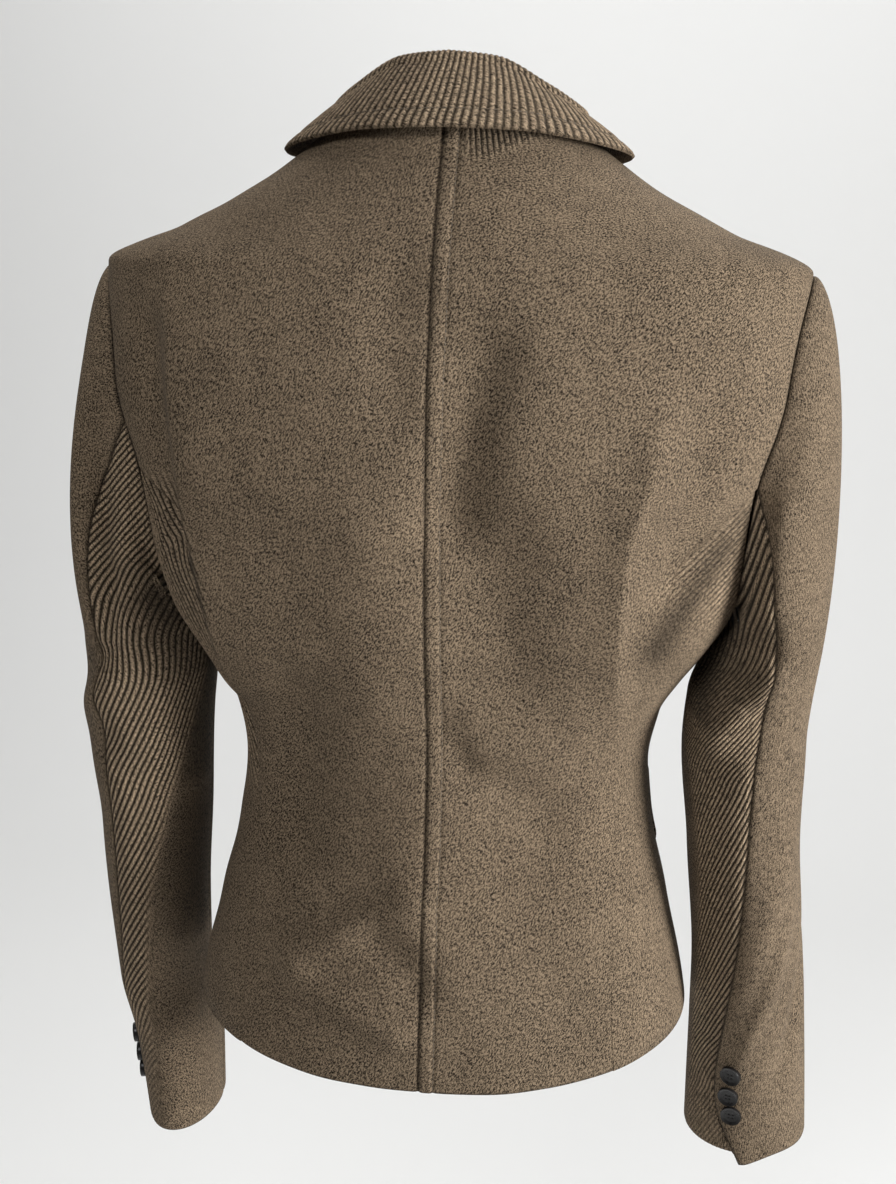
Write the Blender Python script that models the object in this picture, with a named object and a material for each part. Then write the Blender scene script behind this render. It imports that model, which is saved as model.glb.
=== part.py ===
"""A fitted wool blazer, hollow and open as it is worn, in the pieces that a maker cuts and sews.

Metres. +X is the wearer's left, +Y the back, +Z up. The origin is on the mid line at the height of the
side neck points, where the shoulders carry the garment.
"""

import bisect
import math
from types import SimpleNamespace

import bmesh
import bpy
from mathutils import Vector
from mathutils.bvhtree import BVHTree

for leftover in list(bpy.data.objects):
    bpy.data.objects.remove(leftover)


class Table:
    """A short table with named columns, read along its first on a smooth curve that never overshoots."""

    def __init__(self, columns, *rows):
        self.columns = columns.split()
        self.keys = [row[0] for row in rows]
        self.curves = [self._curve([row[i] for row in rows]) for i in range(1, len(self.columns))]

    def _curve(self, values):
        steps = [b - a for a, b in zip(self.keys, self.keys[1:])]
        slopes = [(b - a) / step for a, b, step in zip(values, values[1:], steps)]
        tangents = [slopes[0]]
        for before, after in zip(slopes, slopes[1:]):
            same_way = before * after > 0
            tangents.append(2 * before * after / (before + after) if same_way else 0.0)
        return values, tangents + [slopes[-1]]

    def at(self, key):
        key = min(max(key, self.keys[0]), self.keys[-1])
        i = min(max(bisect.bisect_right(self.keys, key) - 1, 0), len(self.keys) - 2)
        step = self.keys[i + 1] - self.keys[i]
        t = (key - self.keys[i]) / step
        found = {self.columns[0]: key}
        for column, (values, tangents) in zip(self.columns[1:], self.curves):
            rise = (3 - 2 * t) * t * t
            found[column] = (
                values[i] * (1 - rise) + values[i + 1] * rise
                + step * t * (1 - t) * (tangents[i] * (1 - t) - tangents[i + 1] * t)
            )
        return SimpleNamespace(**found)


# Cloth and seams
CLOTH = 0.0022
COLLAR_CLOTH = 0.0026
SEAM_GAP = 0.0006
ON_PANEL = 0.0009

# Levels on the body
NECK_BACK_RISE = 0.010
SHOULDER_TIP_Z = -0.0733
SIDE_BACK_TOP_Z = -0.190
WAIST_Z = -0.370
HEM_BACK_Z = -0.5465
HEM_SIDE_Z = -0.527
HEM_FRONT_Z = -0.540

# Armhole, a loop cut sideways through the body
ARMHOLE_Z = -0.173
ARMHOLE_HALF_HEIGHT = SHOULDER_TIP_Z - ARMHOLE_Z
ARMHOLE_HALF_DEPTH = 0.058
ARMHOLE_BOTTOM_Z = ARMHOLE_Z - ARMHOLE_HALF_HEIGHT
ARMHOLE_GAP = 0.0013

# Fronts
SIDE_FRONT_ANGLE = math.radians(113)
FRONT_OVERLAP = 0.016
OVERLAP_LIFT = 0.0034
OVERLAP_REACH = 0.055
OVERLAP_EASE = 0.030
BREAK_Z = -0.300
ROLL_TOP_X = 0.060
ROLL_BOW = 0.9

# The body's outside: half width, and depth to the back and to the front, at each height
TORSO_POWER = 2.4
TORSO = Table(
    "z half_width back front",
    (-0.600, 0.162, 0.117, 0.112),
    (-0.530, 0.156, 0.113, 0.110),
    (-0.460, 0.141, 0.103, 0.104),
    (-0.410, 0.1295, 0.093, 0.099),
    (-0.370, 0.1255, 0.090, 0.098),
    (-0.335, 0.131, 0.096, 0.103),
    (-0.314, 0.1435, 0.102, 0.108),
    (-0.2726, 0.171, 0.114, 0.116),
    (-0.190, 0.192, 0.124, 0.116),
    (-0.140, 0.205, 0.122, 0.105),
    (-0.0733, 0.206, 0.104, 0.075),
    (-0.052, 0.160, 0.095, 0.065),
    (-0.028, 0.115, 0.083, 0.054),
    (0.000, 0.077, 0.067, 0.045),
    (0.030, 0.045, 0.056, 0.030),
)

# Long soft folds of the back, as ridges (height over 0) and hollows between two points seen from behind
FOLD_FADE_DEPTH = 0.030
BACK_FOLDS = (
    dict(x0=0.152, z0=-0.108, x1=0.143, z1=-0.150, height=0.0035, width=0.012),
    dict(x0=0.143, z0=-0.150, x1=0.132, z1=-0.230, height=0.0045, width=0.012),
    dict(x0=0.132, z0=-0.230, x1=0.116, z1=-0.310, height=0.0040, width=0.012),
    dict(x0=0.165, z0=-0.120, x1=0.150, z1=-0.215, height=-0.0050, width=0.013),
    dict(x0=-0.128, z0=-0.170, x1=-0.112, z1=-0.235, height=0.0040, width=0.014),
    dict(x0=-0.112, z0=-0.235, x1=-0.106, z1=-0.310, height=0.0040, width=0.013),
    dict(x0=-0.152, z0=-0.150, x1=-0.136, z1=-0.235, height=-0.0035, width=0.015),
    dict(x0=-0.030, z0=-0.120, x1=-0.022, z1=-0.230, height=-0.0022, width=0.022),
    dict(x0=0.070, z0=-0.340, x1=0.055, z1=-0.420, height=-0.0025, width=0.020),
    dict(x0=-0.020, z0=-0.355, x1=-0.060, z1=-0.365, height=-0.0020, width=0.014),
    dict(x0=0.075, z0=-0.470, x1=0.012, z1=-0.450, height=0.0022, width=0.012),
    dict(x0=0.072, z0=-0.485, x1=0.018, z1=-0.515, height=0.0020, width=0.012),
)

# Sleeves below the armpit: the tube's axis and half sizes, and the turns of its two seams in degrees
LEFT_SLEEVE = Table(
    "drop x y half_width half_depth hind fore",
    (0.300, 0.1920, 0.000, 0.0340, 0.058, 31, 236),
    (0.325, 0.1885, 0.000, 0.0375, 0.057, 30, 248),
    (0.355, 0.1910, 0.000, 0.0375, 0.056, 28, 256),
    (0.420, 0.1920, -0.008, 0.0340, 0.054, 26, 258),
    (0.490, 0.1960, -0.022, 0.0310, 0.051, 29, 258),
    (0.547, 0.1970, -0.034, 0.0290, 0.049, 42, 258),
    (0.600, 0.1900, -0.042, 0.0270, 0.048, 50, 258),
    (0.660, 0.1880, -0.048, 0.0240, 0.046, 62, 258),
)
RIGHT_SLEEVE = Table(
    "drop x y half_width half_depth hind fore",
    (0.300, 0.1910, 0.000, 0.0345, 0.058, 6, 236),
    (0.325, 0.1850, 0.000, 0.0375, 0.057, 9, 248),
    (0.355, 0.1830, 0.000, 0.0375, 0.056, 6.5, 256),
    (0.424, 0.1870, -0.006, 0.0350, 0.053, -1, 258),
    (0.498, 0.1945, -0.016, 0.0355, 0.049, -18, 258),
    (0.545, 0.1970, -0.022, 0.0370, 0.046, -29, 258),
    (0.587, 0.1990, -0.028, 0.0385, 0.044, -38, 258),
    (0.634, 0.2010, -0.034, 0.0400, 0.042, -14, 258),
)
SLEEVES = {1: LEFT_SLEEVE, -1: RIGHT_SLEEVE}
HIND_ON_CAP = {
    1: Table("s turn", (0.0, 4.5), (0.15, 2.3), (0.3, 4.0), (0.5, 13.5), (0.7, 24.5), (1.0, 31)),
    -1: Table("s turn", (0.0, -11), (0.15, -17.8), (0.3, -19.5), (0.5, -16.2), (0.7, -10), (1.0, 6)),
}
FORE_AT_ARMHOLE = 222
CAP_REACH_TOP = 0.022
CAP_REACH_ARMPIT = 0.011
CAP_DROP_TOP = 0.085
CAP_DROP_ARMPIT = 0.013
CAP_RISE_TOP = -0.007
CAP_RISE_ARMPIT = 0.003
CUFF_CORNER = 0.010
CUFF_CORNER_TURN = 28
VENT_START = 1.75
VENT_TURN = 7
SLEEVE_GAP_TURN = 0.5

# The sleeves' largest folds: where each is centred, how far out it stands and how far it spreads
SLEEVE_FOLDS = (
    dict(side=1, drop=0.305, turn=20, lean=0.0004, height=-0.0065, along=0.012, around=34),
    dict(side=1, drop=0.335, turn=30, lean=0.0004, height=0.0050, along=0.014, around=38),
    dict(side=1, drop=0.375, turn=0, lean=-0.0005, height=-0.0040, along=0.016, around=40),
    dict(side=1, drop=0.575, turn=-30, lean=0.0003, height=0.0040, along=0.016, around=45),
    dict(side=-1, drop=0.315, turn=-10, lean=0.0004, height=-0.0050, along=0.014, around=36),
    dict(side=-1, drop=0.345, turn=-30, lean=0.0006, height=0.0040, along=0.014, around=40),
    dict(side=-1, drop=0.530, turn=55, lean=-0.0015, height=-0.0045, along=0.020, around=30),
    dict(side=-1, drop=0.505, turn=20, lean=-0.0018, height=0.0040, along=0.018, around=30),
)

# Collar round the neck by turn from the centre back: neck seam, roll and fall edge as radius and height
COLLAR = Table(
    "turn seam_out seam_up roll_out roll_up fall_out fall_up",
    (0, 0.0612, 0.0105, 0.0500, 0.0425, 0.0790, 0.0020),
    (30, 0.0660, 0.0088, 0.0520, 0.0400, 0.0830, 0.0010),
    (60, 0.0745, 0.0034, 0.0600, 0.0270, 0.0940, -0.0040),
    (90, 0.0745, 0.0006, 0.0690, 0.0165, 0.1020, -0.0095),
    (110, 0.0706, 0.0006, 0.0640, 0.0165, 0.0980, -0.0130),
    (122, 0.0640, 0.0006, 0.0630, 0.0160, 0.0970, -0.0210),
)
COLLAR_END = 122
COLLAR_WALES = 76
WALE_HEIGHT = 0.0009
WALE_LEAN = 9
WALE_LEAN_OVER_ROLL = 0.3
ROLL_RADIUS = 0.0055
FALL_BOW = 0.85

# Lapels: width from the roll line at each height
LAPEL = Table(
    "z width",
    (-0.232, 0.006),
    (-0.160, 0.050),
    (-0.095, 0.074),
    (-0.062, 0.068),
)

# Pocket flaps
FLAP_TOP_Z = -0.385
FLAP_DEPTH = 0.050
FLAP_BACK_ANGLE = math.radians(103)
FLAP_FRONT_ANGLE = math.radians(143)

# Buttons
CUFF_BUTTON_RADIUS = 0.0066
FRONT_BUTTON_RADIUS = 0.010
BUTTON_THICK = 0.0032
BUTTON_SEGMENTS = 14
BUTTON_PROFILE = (
    dict(out=0.80, up=0.00),
    dict(out=1.00, up=0.35),
    dict(out=1.00, up=0.75),
    dict(out=0.92, up=1.00),
    dict(out=0.74, up=1.00),
    dict(out=0.62, up=0.72),
)
CUFF_BUTTON_RISES = (0.062, 0.047, 0.034)
CUFF_BUTTON_TURN = 19
BUTTON_GAP = 0.0002
BUTTON_SEARCH = 0.010
BUTTON_SEAT_RINGS = (0.0, 0.4, 0.8)
FRONT_BUTTON_LEVELS = (-0.325, -0.425)

# Grid steps of each kind of piece
BACK_STEPS = (14, 7, 5, 10)
FRONT_STEPS = (14, 7, 5, 8)
SIDE_STEPS = (14, 10)
SLEEVE_STEPS = (8, 16)
TOP_SLEEVE_STEPS = 11
UNDER_SLEEVE_STEPS = 9
STAND_STEPS, ROLL_STEPS, FALL_STEPS = 1, 3, 3
LAPEL_STEPS = (9, 5)
FLAP_STEPS = (4, 9)

# Small steps that slopes are measured over, and rounds of search for a meeting point
ANGLE_STEP = 0.002
HEIGHT_STEP = 0.001
SLEEVE_STEP = 0.01
TURN_STEP = 1.5
STEEPEST_SEAM = 3.0
HALVINGS = 40


def signed_power(value, exponent):
    return math.copysign(abs(value) ** exponent, value)


def mix(a, b, t):
    return a + (b - a) * t


def ease(t):
    t = min(max(t, 0.0), 1.0)
    return (3 - 2 * t) * t * t


def spread(start, end, steps):
    return [mix(start, end, i / steps) for i in range(steps + 1)]


def plain_body(angle, z):
    """The body before folds: angle 0 at the centre back, a quarter turn at the wearer's left."""
    ring = TORSO.at(z)
    depth = ring.back if math.cos(angle) > 0 else ring.front
    across = signed_power(math.sin(angle), 2 / TORSO_POWER)
    along = signed_power(math.cos(angle), 2 / TORSO_POWER)
    return Vector((ring.half_width * across, depth * along, z))


def normal_of(surface, u, v, du, dv):
    across = surface(u + du, v) - surface(u - du, v)
    along = surface(u, v + dv) - surface(u, v - dv)
    return along.cross(across).normalized()


def fold_height(x, z):
    total = 0.0
    for fold in BACK_FOLDS:
        start = Vector((fold["x0"], fold["z0"]))
        way = Vector((fold["x1"], fold["z1"])) - start
        point = Vector((x, z)) - start
        t = min(max(point.dot(way) / way.length_squared, 0.0), 1.0)
        away = (point - way * t).length / fold["width"]
        total += fold["height"] * math.exp(-away * away)
    return total


def body(angle, z):
    """The body's outside with the folds of its back."""
    point = plain_body(angle, z)
    if point.y <= 0:
        return point
    height = fold_height(point.x, z) * ease(point.y / FOLD_FADE_DEPTH)
    return point + normal_of(plain_body, angle, z, ANGLE_STEP, HEIGHT_STEP) * height


def body_normal(angle, z):
    return normal_of(body, angle, z, 2 * ANGLE_STEP, 2 * HEIGHT_STEP)


def angle_at_x(x, z, front=False):
    ring = TORSO.at(z)
    angle = math.asin(min(max(signed_power(x / ring.half_width, TORSO_POWER / 2), -1.0), 1.0))
    return math.pi - angle if front else angle


def armhole_half_depth(z):
    level = min(abs(z - ARMHOLE_Z) / ARMHOLE_HALF_HEIGHT, 1.0)
    return ARMHOLE_HALF_DEPTH * math.sqrt(1 - level * level)


def armhole_angle(z, front=False):
    """The angle of the armhole's edge at one height, on its back or front side."""
    ring = TORSO.at(z)
    depth = ring.front if front else ring.back
    angle = math.acos((armhole_half_depth(z) / depth) ** (TORSO_POWER / 2))
    return math.pi - angle if front else angle


SIDE_BACK_SEAM = Table(
    "z x",
    (-0.600, 0.118),
    (-0.527, 0.113),
    (-0.416, 0.108),
    (-0.358, 0.110),
    (-0.323, 0.117),
    (-0.252, 0.132),
    (-0.223, 0.145),
    (SIDE_BACK_TOP_Z, plain_body(armhole_angle(SIDE_BACK_TOP_Z), SIDE_BACK_TOP_Z).x),
)


def side_back_angle(z):
    if z >= SHOULDER_TIP_Z:
        return math.pi / 2
    if z >= SIDE_BACK_TOP_Z:
        return armhole_angle(z)
    return angle_at_x(SIDE_BACK_SEAM.at(z).x, z)


def side_front_top():
    """The height where the side front seam meets the armhole."""
    low, high = ARMHOLE_BOTTOM_Z, ARMHOLE_Z
    for _ in range(HALVINGS):
        middle = (low + high) / 2
        low, high = (middle, high) if armhole_angle(middle, True) < SIDE_FRONT_ANGLE else (low, middle)
    return low


SIDE_FRONT_TOP_Z = side_front_top()


def side_front_angle(z):
    if z >= SHOULDER_TIP_Z:
        return math.pi / 2
    if z >= SIDE_FRONT_TOP_Z:
        return armhole_angle(z, True)
    return SIDE_FRONT_ANGLE


def roll_x(z):
    """The front edge's distance from the mid line, on its own side: straight, then along the lapel's roll."""
    rise = min(max((z - BREAK_Z) / -BREAK_Z, 0.0), 1.0)
    return mix(-FRONT_OVERLAP, ROLL_TOP_X, rise ** ROLL_BOW)


def front_edge_angle(z):
    return angle_at_x(roll_x(z), z, front=True)


def levelled(row_z, angle):
    """A row's height where it follows the hem's curve below the waist and the neckline's above the tips."""
    facing = math.cos(angle)
    hem_z = mix(HEM_SIDE_Z, HEM_BACK_Z if facing > 0 else HEM_FRONT_Z, facing * facing)
    if row_z < WAIST_Z:
        return row_z + (hem_z - HEM_BACK_Z) * (WAIST_Z - row_z) / (WAIST_Z - HEM_BACK_Z)
    if row_z > SHOULDER_TIP_Z and facing > 0:
        return row_z + NECK_BACK_RISE * facing * facing * (1 - row_z / SHOULDER_TIP_Z)
    return row_z


def between(edge_a, edge_b, u, row_z):
    """The angle and height of a point a share u of the way from one seam to the other."""
    z = row_z
    for _ in range(4):
        angle = mix(edge_a(z), edge_b(z), u)
        z = levelled(row_z, angle)
    return angle, z


def inset(edge, way):
    """A seam line moved back by half the gap between two pieces, square to its run."""

    def moved(z):
        width = TORSO.at(z).half_width
        lean = (edge(z + HEIGHT_STEP) - edge(z - HEIGHT_STEP)) / (2 * HEIGHT_STEP) * width
        return edge(z) + way * SEAM_GAP / 2 / width * math.hypot(1.0, min(abs(lean), STEEPEST_SEAM))

    return moved


def material(name, colour, roughness):
    made = bpy.data.materials.new(name)
    made.use_nodes = True
    shader = made.node_tree.nodes["Principled BSDF"]
    shader.inputs["Base Color"].default_value = (*colour, 1.0)
    shader.inputs["Roughness"].default_value = roughness
    shader.inputs["Metallic"].default_value = 0.0
    return made


WOOL = material("brushed_wool", (0.168, 0.133, 0.094), 0.95)
RIB = material("rib_wool", (0.150, 0.118, 0.082), 0.92)
HORN = material("button_resin", (0.018, 0.017, 0.017), 0.32)


def finish(name, mesh_data, surface):
    if mesh_data.calc_volume(signed=True) < 0:
        bmesh.ops.reverse_faces(mesh_data, faces=mesh_data.faces)
    mesh = bpy.data.meshes.new(name)
    mesh_data.to_mesh(mesh)
    mesh_data.free()
    mesh.materials.append(surface)
    for face in mesh.polygons:
        face.use_smooth = True
    made = bpy.data.objects.new(name, mesh)
    bpy.context.scene.collection.objects.link(made)
    return made


def wall(name, outer, inner, surface):
    """A closed cloth wall between two grids of points, one row list for each face."""
    mesh_data = bmesh.new()
    faces = [[[mesh_data.verts.new(p) for p in row] for row in grid] for grid in (outer, inner)]
    rows, columns = len(outer) - 1, len(outer[0]) - 1
    out, back = faces
    for i in range(rows):
        for j in range(columns):
            mesh_data.faces.new((out[i][j], out[i][j + 1], out[i + 1][j + 1], out[i + 1][j]))
            mesh_data.faces.new((back[i][j], back[i + 1][j], back[i + 1][j + 1], back[i][j + 1]))
    rim = [(0, j) for j in range(columns)] + [(i, columns) for i in range(rows)]
    rim += [(rows, j) for j in range(columns, 0, -1)] + [(i, 0) for i in range(rows, 0, -1)]
    for (i, j), (k, m) in zip(rim, rim[1:] + rim[:1]):
        mesh_data.faces.new((out[k][m], out[i][j], back[i][j], back[k][m]))
    return finish(name, mesh_data, surface)


def body_wall(name, places, surface, lift=0.0, lift_at=None):
    """A wall on the body's surface, its points given as rows of angle and height."""
    outer, inner = [], []
    for row in places:
        outer.append([])
        inner.append([])
        for angle, z in row:
            point, normal = body(angle, z), body_normal(angle, z)
            raised = lift + (lift_at(point) if lift_at else 0.0)
            outer[-1].append(point + normal * raised)
            inner[-1].append(point + normal * (raised - CLOTH))
    return wall(name, outer, inner, surface)


def armhole_rows(start, steps):
    """Row heights from a seam's top up to the shoulder tip, closer where the armhole turns over."""
    return [mix(start, SHOULDER_TIP_Z, math.sin(t * math.pi / 2)) for t in spread(0, 1, steps)[1:]]


def make_back(side, name):
    low, middle, high, across = BACK_STEPS
    rows = spread(HEM_BACK_Z, SIDE_BACK_TOP_Z, low)
    rows += armhole_rows(SIDE_BACK_TOP_Z, middle)
    rows += spread(SHOULDER_TIP_Z, 0.0, high)[1:]
    centre, edge = inset(lambda z: 0.0, 1), inset(side_back_angle, -1)
    places = []
    for row_z in rows:
        found = [between(centre, edge, u, row_z) for u in spread(0, 1, across)]
        places.append([(side * angle, z) for angle, z in found])
    return body_wall(name, places, WOOL)


def side_panel_top(u):
    """The height where one column of the side panel runs into the armhole."""
    low, high = ARMHOLE_BOTTOM_Z, SIDE_BACK_TOP_Z
    for _ in range(HALVINGS):
        z = (low + high) / 2
        depth = plain_body(mix(side_back_angle(z), SIDE_FRONT_ANGLE, u), z).y / ARMHOLE_HALF_DEPTH
        level = (z - ARMHOLE_Z) / ARMHOLE_HALF_HEIGHT
        low, high = (z, high) if depth * depth + level * level > 1 else (low, z)
    return low


def make_side(side, name):
    along, across = SIDE_STEPS
    back, front = inset(side_back_angle, 1), inset(lambda z: SIDE_FRONT_ANGLE, -1)
    columns = spread(0, 1, across)
    tops = [side_panel_top(u) for u in columns]
    places = []
    for v in spread(0, 1, along):
        found = [between(back, front, u, mix(HEM_BACK_Z, top, v)) for u, top in zip(columns, tops)]
        places.append([(side * angle, z) for angle, z in found])
    return body_wall(name, places, RIB)


def overlap_lift(point):
    """The right front lies over the left, so it stands out by a cloth's thickness near the mid line."""
    return OVERLAP_LIFT * ease((OVERLAP_REACH + point.x) / OVERLAP_EASE)


def make_front(side, name):
    low, middle, high, across = FRONT_STEPS
    rows = spread(HEM_BACK_Z, SIDE_FRONT_TOP_Z, low)
    rows += armhole_rows(SIDE_FRONT_TOP_Z, middle)
    rows += spread(SHOULDER_TIP_Z, 0.0, high)[1:]
    edge, centre = inset(side_front_angle, 1), front_edge_angle
    places = []
    for row_z in rows:
        found = [between(edge, centre, u, row_z) for u in spread(0, 1, across)]
        places.append([(side * angle, z) for angle, z in found])
    return body_wall(name, places, WOOL, lift_at=overlap_lift if side < 0 else None)


def make_lapel(side, name):
    along, across = LAPEL_STEPS
    places = []
    for z in spread(LAPEL.keys[0], LAPEL.keys[-1], along):
        start, end = roll_x(z), roll_x(z) + LAPEL.at(z).width
        angles = [angle_at_x(x, z, front=True) for x in spread(start, end, across)]
        places.append([(side * angle, z) for angle in angles])
    lift_at = overlap_lift if side < 0 else None
    return body_wall(name, places, WOOL, lift=CLOTH + ON_PANEL, lift_at=lift_at)


def make_flap(side, name):
    along, across = FLAP_STEPS
    places = []
    for z in spread(FLAP_TOP_Z - FLAP_DEPTH, FLAP_TOP_Z, along):
        angles = spread(FLAP_BACK_ANGLE, FLAP_FRONT_ANGLE, across)
        places.append([(side * angle, z) for angle in angles])
    return body_wall(name, places, WOOL, lift=CLOTH + ON_PANEL)


def sleeve_fold(side, drop, turn):
    total = 0.0
    for fold in SLEEVE_FOLDS:
        if fold["side"] != side:
            continue
        off = (turn - fold["turn"] + 180) % 360 - 180
        along = (drop - fold["drop"] - fold["lean"] * off) / fold["along"]
        around = off / fold["around"]
        total += fold["height"] * math.exp(-along * along - around * around)
    return total


def tube(side, drop, turn, corner=0.0):
    """The sleeve below the armpit: turn 0 at the back, 90 outward, 180 at the front, 270 to the body."""
    ring = SLEEVES[side].at(drop)
    swell = sleeve_fold(side, drop, turn)
    across, along = math.sin(math.radians(turn)), math.cos(math.radians(turn))
    x = ring.x + (ring.half_width + swell) * across
    y = ring.y + (ring.half_depth + swell) * along
    return Vector((side * x, y, -drop - corner))


def armhole_point(side, turn):
    """The sleeve's first ring, a gap inside the armhole's loop on the body."""
    y = (ARMHOLE_HALF_DEPTH - ARMHOLE_GAP) * math.cos(math.radians(turn))
    z = ARMHOLE_Z + (ARMHOLE_HALF_HEIGHT - ARMHOLE_GAP) * math.sin(math.radians(turn))
    ring = TORSO.at(z)
    depth = abs(y) / (ring.back if y > 0 else ring.front)
    x = ring.half_width * (1 - depth ** TORSO_POWER) ** (1 / TORSO_POWER)
    if y > 0:
        return body(side * angle_at_x(x, z), z)
    return Vector((side * x, y, z))


def vent_share(s):
    """How far down the vent a level of the sleeve lies, from 0 at its start to 1 at the cuff."""
    return ease((s - VENT_START) / (2 - VENT_START))


def sleeve(side, s, turn):
    """The sleeve's outside: s from 0 at the armhole to 1 at the armpit, and on to 2 at the cuff."""
    keys = SLEEVES[side].keys
    if s > 1:
        drop = mix(keys[0], keys[-1], s - 1)
        off = (turn - SLEEVES[side].at(drop).hind + 180) % 360 - 180
        near = math.exp(-((off / CUFF_CORNER_TURN) ** 2)) if off > 0 else 0.0
        return tube(side, drop, turn, CUFF_CORNER * near * vent_share(s))
    rise = (1 + math.sin(math.radians(turn))) / 2
    start, end = armhole_point(side, turn), tube(side, keys[0], turn)
    reach = mix(CAP_REACH_ARMPIT, CAP_REACH_TOP, rise)
    leave = start + Vector((side * reach, 0.0, mix(CAP_RISE_ARMPIT, CAP_RISE_TOP, rise)))
    slope = (end - tube(side, keys[0] + SLEEVE_STEP, turn)) / SLEEVE_STEP
    arrive = end + slope * mix(CAP_DROP_ARMPIT, CAP_DROP_TOP, rise)
    r = 1 - s
    return start * r ** 3 + leave * (3 * r * r * s) + arrive * (3 * r * s * s) + end * s ** 3


def sleeve_normal(side, s, turn):
    low, high = max(s - SLEEVE_STEP, 0.0), min(s + SLEEVE_STEP, 2.0)
    along = sleeve(side, high, turn) - sleeve(side, low, turn)
    around = sleeve(side, s, turn + TURN_STEP) - sleeve(side, s, turn - TURN_STEP)
    return around.cross(along).normalized() * side


def hind_turn(side, s):
    """The turn of the seam at the back of the arm."""
    keys = SLEEVES[side].keys
    if s > 1:
        return SLEEVES[side].at(mix(keys[0], keys[-1], s - 1)).hind
    return HIND_ON_CAP[side].at(s).turn


def fore_turn(side, s):
    """The turn of the seam at the front of the arm, on the body's side."""
    keys = SLEEVES[side].keys
    fore = SLEEVES[side].at(mix(keys[0], keys[-1], max(s - 1, 0.0))).fore
    return mix(FORE_AT_ARMHOLE, fore, min(s, 1.0))


def make_sleeve(side, top, name):
    cap, length = SLEEVE_STEPS
    around = TOP_SLEEVE_STEPS if top else UNDER_SLEEVE_STEPS
    outer, inner = [], []
    for s in spread(0, 1, cap) + spread(1, 2, length)[1:]:
        hind = hind_turn(side, s)
        fore = fore_turn(side, s)
        vent = VENT_TURN * vent_share(s)
        if top:
            first, last = hind + SLEEVE_GAP_TURN + vent, fore - SLEEVE_GAP_TURN
        else:
            first, last = fore + SLEEVE_GAP_TURN, hind + 360 - SLEEVE_GAP_TURN
        points = [(sleeve(side, s, t), sleeve_normal(side, s, t)) for t in spread(first, last, around)]
        outer.append([point for point, _ in points])
        inner.append([point - normal * CLOTH for point, normal in points])
    return wall(name, outer, inner, WOOL if top else RIB)


def collar_section(turn):
    """The collar's outside in one plane through the neck: up the stand, over the roll and down the fall."""
    leaned = turn + WALE_LEAN * (1 - (turn / COLLAR_END) ** 2)
    over_roll = mix(turn, leaned, WALE_LEAN_OVER_ROLL)
    path = [collar_point(turn, "stand", t) for t in spread(0, 1, STAND_STEPS)]
    path += [collar_point(mix(turn, over_roll, t), "roll", t) for t in spread(0, 1, ROLL_STEPS)[1:]]
    path += [collar_point(mix(over_roll, leaned, t), "fall", t) for t in spread(0, 1, FALL_STEPS)[1:]]
    return path


def collar_point(turn, part, t):
    cut = COLLAR.at(abs(turn))
    top = cut.roll_up - ROLL_RADIUS
    if part == "stand":
        out, up = mix(cut.seam_out, cut.roll_out - ROLL_RADIUS, t), mix(cut.seam_up, top, t)
    elif part == "roll":
        arc = math.pi * (1 - t)
        out, up = cut.roll_out + ROLL_RADIUS * math.cos(arc), top + ROLL_RADIUS * math.sin(arc)
    else:
        out = mix(cut.roll_out + ROLL_RADIUS, cut.fall_out, t ** FALL_BOW)
        up = mix(top, cut.fall_up, t)
    return Vector((out * math.sin(math.radians(turn)), out * math.cos(math.radians(turn)), up))


def make_collar(name):
    """The folded collar, its wales raised on the roll and fall over a plain inside."""
    turns = spread(-COLLAR_END, COLLAR_END, 2 * COLLAR_WALES)
    plain = [collar_section(turn) for turn in turns]
    outer, inner = [], []
    for i, section in enumerate(plain):
        before, after = plain[max(i - 1, 0)], plain[min(i + 1, len(plain) - 1)]
        outer.append([])
        inner.append([])
        for j, point in enumerate(section):
            along = section[min(j + 1, len(section) - 1)] - section[max(j - 1, 0)]
            normal = (after[j] - before[j]).cross(along).normalized()
            wale = WALE_HEIGHT if i % 2 and j > STAND_STEPS else 0.0
            outer[-1].append(point + normal * wale)
            inner[-1].append(point - normal * COLLAR_CLOTH)
    return wall(name, outer, inner, RIB)


def circle(centre, normal, radius):
    """Points round a circle that is square to its normal."""
    side = normal.orthogonal().normalized()
    other = normal.cross(side)
    turns = spread(0, 2 * math.pi, BUTTON_SEGMENTS)[:-1]
    return [centre + (side * math.cos(a) + other * math.sin(a)) * radius for a in turns]


def make_button(name, piece, point, normal, radius):
    """A turned button with a raised rim, its back just clear of the cloth that carries it."""
    mesh = piece.data
    mesh.calc_loop_triangles()
    corners = [corner.co for corner in mesh.vertices]
    cloth = BVHTree.FromPolygons(corners, [face.vertices for face in mesh.loop_triangles])
    heights = []
    for share in BUTTON_SEAT_RINGS:
        for place in circle(point, normal, radius * share):
            hit, _, _, _ = cloth.ray_cast(place + normal * BUTTON_SEARCH, -normal)
            heights.append((hit - point).dot(normal))
    seat = point + normal * (max(heights) + BUTTON_GAP)
    mesh_data = bmesh.new()
    rings = []
    for level in BUTTON_PROFILE:
        base = seat + normal * (BUTTON_THICK * level["up"])
        rings.append([mesh_data.verts.new(p) for p in circle(base, normal, radius * level["out"])])
    for low, high in zip(rings, rings[1:]):
        for i in range(BUTTON_SEGMENTS):
            k = (i + 1) % BUTTON_SEGMENTS
            mesh_data.faces.new((low[i], low[k], high[k], high[i]))
    mesh_data.faces.new(list(reversed(rings[0])))
    mesh_data.faces.new(rings[-1])
    return finish(name, mesh_data, HORN)


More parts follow.
